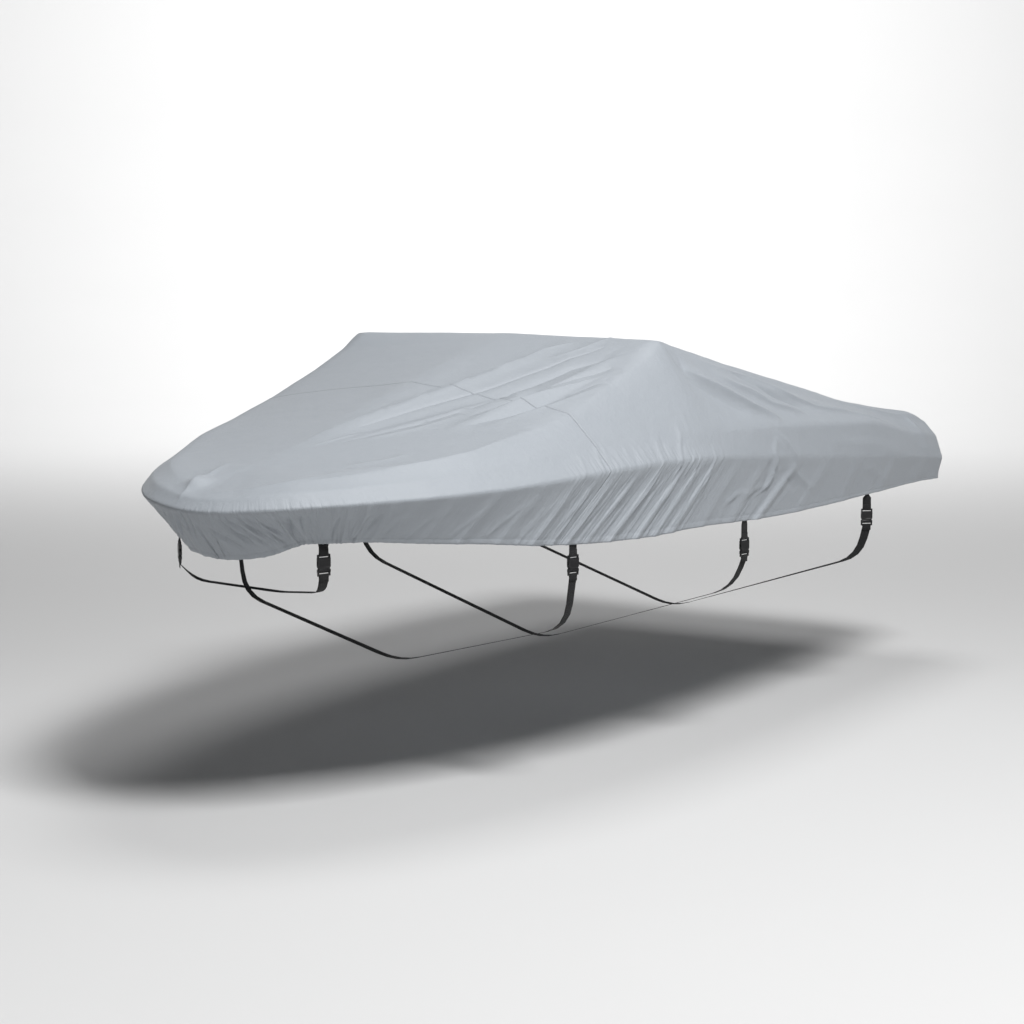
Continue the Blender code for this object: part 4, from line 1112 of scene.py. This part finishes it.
def cloth_finish(look):
    """Grey coated polyester: a fine plain weave, soft crinkles, and stitching at hem and seam."""
    finish = Finish("grey_cover_cloth", 0.4, Sheen_Weight=0.06, Sheen_Roughness=0.45,
                    Specular_IOR_Level=0.45)
    spot = finish.object_place()
    x, y = finish.parts(spot)[:2]
    around, up = finish.parts(finish.map_place("cloth"))[:2]
    level = finish.node("ShaderNodeAttribute", {"attribute_name": "level"}, output="Fac")
    on_top = level.rise(0.9, 2.0)

    thread = look.thread
    top_weave = x.wave(thread) * y.wave(thread)
    side_weave = around.wave(thread) * up.wave(thread)
    weave = top_weave * on_top + side_weave * (1.0 - on_top)

    gathered = around.between(-0.5, 0.66, 0.05) + around.between(1.45, 2.42, 0.08)
    low = 1.0 - level.rise(-0.2, 0.9)
    drawn = finish.joined(around * 46.0, up * 7.0)
    pulls = finish.grain(drawn, 1.0, 3.0, 0.55) * low * (gathered * 0.8 + 0.2)
    crinkle = finish.grain(spot, 13.0, 3.0, 0.5) * 0.7 + finish.grain(spot, 44.0, 2.0, 0.5) * 0.3

    seam = distance_at(SEAM_AFT) + SEAM_LAP
    stitch_along_seam = up.wave(STITCH_PITCH).rise(-0.4, 0.1)
    stitch_along_hem = around.wave(STITCH_PITCH).rise(-0.4, 0.1)
    seam_lines = (around.line(seam - SEAM_STITCHES, LINE_WIDTH)
                  + around.line(seam + SEAM_STITCHES, LINE_WIDTH))
    # Painted highlight: the seam's stitches and the welt's shade line are painted fainter towards
    # port, as if washed out by the highlight on the lit port slopes.
    painted_highlight_to_port = 1.0 - x.rise(0.02, 0.30) * 0.75
    seam_lines = seam_lines * painted_highlight_to_port
    hem_lines = up.line(HEM_DEPTH, HEM_LINE_WIDTH) * (1.0 - level.rise(-0.3, -0.2))
    stitches = seam_lines * stitch_along_seam + hem_lines * stitch_along_hem
    # Painted shade: a faint dark line along the welt, where shade falls at the edge of the raised
    # lap.
    painted_welt_shade = around.line(seam + WELT, WELT_SHADE_WIDTH) * painted_highlight_to_port

    tone = finish.grain(spot, 2.3, 3.0, 0.6) * 0.10 + finish.grain(spot, 190.0, 2.0, 0.6) * 0.10
    base = finish.mix(tone + 0.40, shade(look.color, 0.90), shade(look.color, 1.10))
    base = finish.mix(weave * 0.05 + 0.5, shade(look.color, 0.96), base)
    base = finish.mix(stitches * 0.25, base, shade(look.color, 0.55))
    # The welt's painted shade darkens the cloth colour along the lap's edge.
    base = finish.mix(painted_welt_shade * 0.10, base, shade(look.color, 0.70))

    folded = finish.bump(pulls, PULL_DEPTH)
    folded = finish.bump(crinkle, CRINKLE_DEPTH, folded)
    folded = finish.bump(stitches, STITCH_DEPTH, folded)
    folded = finish.bump(weave, WEAVE_DEPTH, folded)
    rough = finish.grain(spot, 9.0, 3.0, 0.6) * 0.10 + 0.46 + weave * 0.02
    return finish.done(Base_Color=base, Roughness=rough, Normal=folded)


def webbing_finish(look):
    """Black polyester webbing: chevron ribs between two plain selvedges."""
    finish = Finish("black_webbing_weave", 0.8, Sheen_Weight=0.08, Sheen_Roughness=0.5,
                    Specular_IOR_Level=0.3)
    across, along = finish.parts(finish.map_place("strap"))[:2]
    chevron = across.math("PINGPONG", 0.0048)
    ribs = (along + chevron * 0.8).wave(look.rib)
    selvedge = across.math("ABSOLUTE").rise(0.0155, 0.0165)
    weave = ribs * (1.0 - selvedge) + along.wave(look.rib * 0.6) * selvedge * 0.6
    spot = finish.object_place()
    fuzz = finish.grain(spot, 420.0, 2.0, 0.6)
    base = finish.mix(weave * 0.35 + fuzz * 0.3 + 0.2, shade(look.webbing, 0.55),
                      shade(look.webbing, 1.7))
    raised = finish.bump(weave, 0.00022)
    raised = finish.bump(fuzz, 0.00012, raised)
    return finish.done(Base_Color=base, Roughness=fuzz * 0.16 + 0.68, Normal=raised)


def plastic_finish(look):
    """Black acetal with the faint grain of a spark-eroded mould."""
    finish = Finish("black_moulded_plastic", 0.4, Specular_IOR_Level=0.5)
    spot = finish.object_place()
    pits = finish.grain(spot, 1500.0, 2.0, 0.6)
    worn = finish.grain(spot, 38.0, 4.0, 0.6).rise(0.52, 0.78)
    base = finish.mix(worn * 0.6, shade(look.plastic, 0.9), shade(look.plastic, 1.9))
    return finish.done(Base_Color=base, Roughness=pits * 0.16 + worn * 0.14 + 0.28,
                       Normal=finish.bump(pits, 0.00006))


def floor_finish(look):
    """Pale matt studio paper."""
    finish = Finish("pale_studio_floor", 0.9, Specular_IOR_Level=0.1)
    grain = finish.grain(finish.object_place(), 0.6, 3.0, 0.5)
    base = finish.mix(grain, shade(look.floor, 0.985), shade(look.floor, 1.0))
    return finish.done(Base_Color=base)


# ---- settings ------------
def color_setting(name, description, *color):
    return FloatVectorProperty(name=name, description=description, subtype="COLOR", size=3,
                               min=0, max=1, default=color)


def power_setting(name, description, power):
    return FloatProperty(name=name, description=description, unit="POWER", default=power, min=0.0)


def depth_setting(name, description):
    return FloatProperty(name=name, description=description, subtype="FACTOR", default=1.0,
                         min=0.0, max=2.0)


def length_setting(name, description, length, least):
    return FloatProperty(name=name, description=description, unit="LENGTH", default=length,
                         min=least, precision=4)


class ClothSettings(bpy.types.PropertyGroup):
    """Sizes and colour of the two cloth panels."""

    color: color_setting("Cloth colour", "Colour of the coated polyester", 0.318, 0.343, 0.373)
    creases: depth_setting("Creases", "How deep the fine creases are, 1 as shown")
    gathers: depth_setting("Gathers", "How deep the hem's gathers are, 1 as shown")
    thread: length_setting("Thread pair", "Width of two neighbouring threads", 0.0024, 0.0005)


class WebbingSettings(bpy.types.PropertyGroup):
    """Colours and weave of the webbing and its buckles."""

    webbing: color_setting("Webbing colour", "Colour of the woven webbing", 0.008, 0.008, 0.009)
    plastic: color_setting("Buckle colour", "Colour of the moulded plastic", 0.007, 0.007, 0.008)
    rib: length_setting("Rib pitch", "Distance between two ribs of the webbing", 0.0019, 0.0005)
    edge: length_setting("Moulded edge", "Radius of the buckles' edges", 0.0007, 0.0001)


class StageSettings(bpy.types.PropertyGroup):
    """The studio round the cover."""

    floor: color_setting("Floor colour", "Colour of the floor and its cove", 0.62, 0.62, 0.62)
    key: power_setting("Key light", "Power of the soft light high to port", 1520.0)
    top: power_setting("Top light", "Power of the large light overhead", 240.0)
    backdrop: power_setting("Backdrop light", "Power of the light on the cove", 2100.0)
    sky: FloatProperty(name="Fill", description="Strength of the even light from all round",
                       subtype="FACTOR", default=0.05, min=0.0, max=3.0)
    height: FloatProperty(name="Floor height", description="Height of the floor in the frame",
                          unit="LENGTH", default=-APEX_HEIGHT)


# ---- pieces ------------
def add_piece(name, mesh, finish, slot, *nodes):
    """A finished piece that stands for its nodes and moves with the one body."""
    made = add_object(name, mesh)
    mesh.materials.clear()
    mesh.materials.append(finish)
    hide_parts(*nodes)
    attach(made, "root")
    return made


def finish_of(name, make, look):
    return bpy.data.materials.get(name) or make(look)


def add_webbing(name, node, path, acrosses, look):
    """A length of webbing in place of its solid."""
    mesh = webbing_mesh(name, path, acrosses)
    mesh.shade_smooth()
    add_piece(name, mesh, finish_of("black_webbing_weave", webbing_finish, look), "webbing", node)


def cloth_piece(node, distances, look):
    """One panel of the cover, folded, walled and mapped, in place of its solid."""
    name = "cloth_" + node
    mesh = cloth_grid(name, distances)
    bm = bmesh.new()
    bm.from_mesh(mesh)
    bmesh.ops.remove_doubles(bm, verts=bm.verts, dist=MERGE)
    cut_creases(bm)
    bmesh.ops.triangulate(bm, faces=[face for face in bm.faces if len(face.verts) > 4])
    bmesh.ops.recalc_face_normals(bm, faces=bm.faces)
    if max(bm.faces, key=lambda face: face.calc_center_median().z).normal.z < 0:
        bmesh.ops.reverse_faces(bm, faces=bm.faces)
    bm.to_mesh(mesh)
    bm.free()
    mesh.update()
    fold_cloth(mesh, look.creases, look.gathers)
    cloth_map(mesh)
    area = sum(face.area for face in mesh.polygons)
    made = add_piece(name, mesh, finish_of("grey_cover_cloth", cloth_finish, look), "cloth", node)
    activate(made)
    wall = made.modifiers.new("Thickness", "SOLIDIFY")
    wall.thickness = CLOTH
    wall.offset = -1.0
    bpy.ops.object.modifier_apply(modifier=wall.name)
    bpy.ops.object.shade_smooth()
    return made, area


class COVER_OT_cloth(bpy.types.Operator):
    """Make the two cloth panels with their folds"""
    bl_idname = "cover.cloth"
    bl_label = "Cloth panels"

    def execute(self, context):
        look = context.scene.cover_cloth
        seam = distance_at(SEAM_AFT)
        fore = stretch_distances(0.0, seam, FORE_STRETCHES)
        main = stretch_distances(seam, GIRTH, MAIN_STRETCHES)
        made, area = cloth_piece("fore_panel", fore, look)
        made, area = cloth_piece("main_panel", main, look)
        return {"FINISHED"}


class COVER_OT_tabs(bpy.types.Operator):
    """Make the eight tabs sewn inside the hem"""
    bl_idname = "cover.tabs"
    bl_label = "Webbing tabs"

    def execute(self, context):
        for hanging, label in hangings():
            add_webbing(f"webbing_tab_{label}", f"tab_{label}", *tab_path(hanging),
                        context.scene.cover_webbing)
        return {"FINISHED"}


class COVER_OT_belly_straps(bpy.types.Operator):
    """Make the four long straps that cross underneath"""
    bl_idname = "cover.belly_straps"
    bl_label = "Belly straps"

    def execute(self, context):
        for number, strap in enumerate(STRAPS, 1):
            add_webbing(f"webbing_belly_strap_{number}", f"belly_strap_{number}",
                        *belly_path(strap), context.scene.cover_webbing)
        return {"FINISHED"}


class COVER_OT_buckles(bpy.types.Operator):
    """Make the eight side-release buckles, each in two halves"""
    bl_idname = "cover.buckles"
    bl_label = "Buckles"

    def execute(self, context):
        look = context.scene.cover_webbing
        finish = finish_of("black_moulded_plastic", plastic_finish, look)
        first = Hanging(1, STRAPS[0])
        patterns = {half: buckle_half(half, first, look.edge) for half in ("socket", "plug")}
        for half, pattern in patterns.items():
            for hanging, label in hangings():
                name = f"buckle_{half}_{label}"
                mesh = pattern.data.copy()
                mesh.name = name
                mesh.transform(hanging.frame())
                add_piece(name, mesh, finish, "buckle", f"{half}_{label}")
            bpy.data.objects.remove(pattern, do_unlink=True)
        return {"FINISHED"}


# The floor runs out flat and then turns up all round: radius, and height above the floor.
Ring = namedtuple("Ring", "radius height")
COVE = [Ring(15.0, 0.0), Ring(16.6, 0.16), Ring(18.1, 0.61), Ring(19.5, 1.34), Ring(20.7, 2.34),
        Ring(21.7, 3.54), Ring(22.4, 4.94), Ring(22.9, 6.44), Ring(23.0, 8.0), Ring(23.0, 12.0)]


# Soft square lights; the power of each is a share of one of the stage's settings.
Light = namedtuple("Light", "name setting share size place aimed_at")
LIGHTS = [
    Light("key_softbox", "key", 1.0, 3.2, (6.35, -3.8, 8.2), (0.0, 0.0, 0.0)),
    Light("top_softbox", "top", 1.0, 3.5, (0.2, 1.0, 7.5), (0.0, 0.0, 0.0)),
    Light("backdrop_light", "backdrop", 1.0, 6.0, (-6.5, 10.5, 9.0), (-11.0, 17.8, 0.5)),
    Light("front_cove_light", "backdrop", 0.3, 6.0, (6.5, -10.5, 9.0), (11.0, -17.8, 0.5)),
]
SKY_COLOR = (0.97, 0.98, 1.0, 1.0)

# The camera, as it was solved from the photo.
FOCAL_LENGTH, SENSOR = 78.86, 36.0          # mm
CAMERA_PLACE = (4.797, -7.668, 0.389)
CAMERA_DIP, CAMERA_TURN = 7.01, 31.79       # degrees below the level, and to starboard of aft


def add_light(light, power):
    lamp = bpy.data.lights.new(light.name, "AREA")
    lamp.shape = "SQUARE"
    lamp.size = light.size
    lamp.energy = power * light.share
    made = add_object(light.name, lamp)
    made.location = light.place
    aim = Vector(light.aimed_at) - Vector(light.place)
    made.rotation_euler = aim.to_track_quat("-Z", "Y").to_euler()


class COVER_OT_stage(bpy.types.Operator):
    """Set up the floor with its cove, the soft lights and the camera"""
    bl_idname = "cover.stage"
    bl_label = "Studio"

    def execute(self, context):
        look = context.scene.cover_stage
        deselect()
        bpy.ops.mesh.primitive_circle_add(vertices=128, radius=COVE[0].radius, fill_type="NGON",
                                          location=(0.0, 0.0, look.height))
        floor = context.object
        floor.name = "studio_floor"
        bpy.ops.object.mode_set(mode="EDIT")
        bpy.ops.mesh.select_mode(type="EDGE")
        for near, far in zip(COVE, COVE[1:]):
            grow = far.radius / near.radius
            bpy.ops.mesh.extrude_edges_move(
                TRANSFORM_OT_translate={"value": (0.0, 0.0, far.height - near.height)})
            bpy.ops.transform.resize(value=(grow, grow, 1.0), center_override=(0.0, 0.0, 0.0))
        bpy.ops.mesh.select_all(action="SELECT")
        bpy.ops.mesh.normals_make_consistent(inside=True)
        bpy.ops.object.mode_set(mode="OBJECT")
        bpy.ops.object.shade_smooth()
        floor.data.materials.append(floor_finish(look))

        for light in LIGHTS:
            add_light(light, getattr(look, light.setting))
        world = bpy.data.worlds.new("studio_fill")
        world.use_nodes = True
        sky = world.node_tree.nodes["Background"]
        sky.inputs["Color"].default_value = SKY_COLOR
        sky.inputs["Strength"].default_value = look.sky
        context.scene.world = world
        context.scene.view_settings.view_transform = "Standard"

        lens = bpy.data.cameras.new("studio_camera")
        lens.lens, lens.sensor_width, lens.sensor_fit = FOCAL_LENGTH, SENSOR, "HORIZONTAL"
        lens.clip_end = 200.0
        camera = add_object("studio_camera", lens)
        camera.location = CAMERA_PLACE
        camera.rotation_euler = (math.radians(90.0 - CAMERA_DIP), 0.0, math.radians(CAMERA_TURN))
        context.scene.camera = camera
        return {"FINISHED"}


class COVER_PT_panel(bpy.types.Panel):
    """Everything the cover is made with, in the sidebar"""
    bl_label = "Boat cover"
    bl_idname = "COVER_PT_panel"
    bl_space_type = "VIEW_3D"
    bl_region_type = "UI"
    bl_category = "Cover"

    def draw(self, context):
        for group in ("cover_cloth", "cover_webbing", "cover_stage"):
            settings = getattr(context.scene, group)
            box = self.layout.box()
            for name in settings.__annotations__:
                box.prop(settings, name)
        for operator in OPERATORS:
            self.layout.operator(operator.bl_idname)


OPERATORS = (COVER_OT_stage, COVER_OT_cloth, COVER_OT_tabs, COVER_OT_belly_straps,
             COVER_OT_buckles)
SETTINGS = {"cover_cloth": ClothSettings, "cover_webbing": WebbingSettings,
            "cover_stage": StageSettings}


def register():
    for group in (*SETTINGS.values(), *OPERATORS, COVER_PT_panel):
        bpy.utils.register_class(group)
    for name, group in SETTINGS.items():
        setattr(bpy.types.Scene, name, PointerProperty(type=group))


def unregister():
    for name in SETTINGS:
        delattr(bpy.types.Scene, name)
    for group in (COVER_PT_panel, *reversed(OPERATORS), *reversed(tuple(SETTINGS.values()))):
        bpy.utils.unregister_class(group)


def main():
    register()
    bpy.ops.cover.stage()
    bpy.ops.cover.cloth()
    bpy.ops.cover.tabs()
    bpy.ops.cover.belly_straps()
    bpy.ops.cover.buckles()
    deselect()
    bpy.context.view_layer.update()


if __name__ == "__main__":
    main()
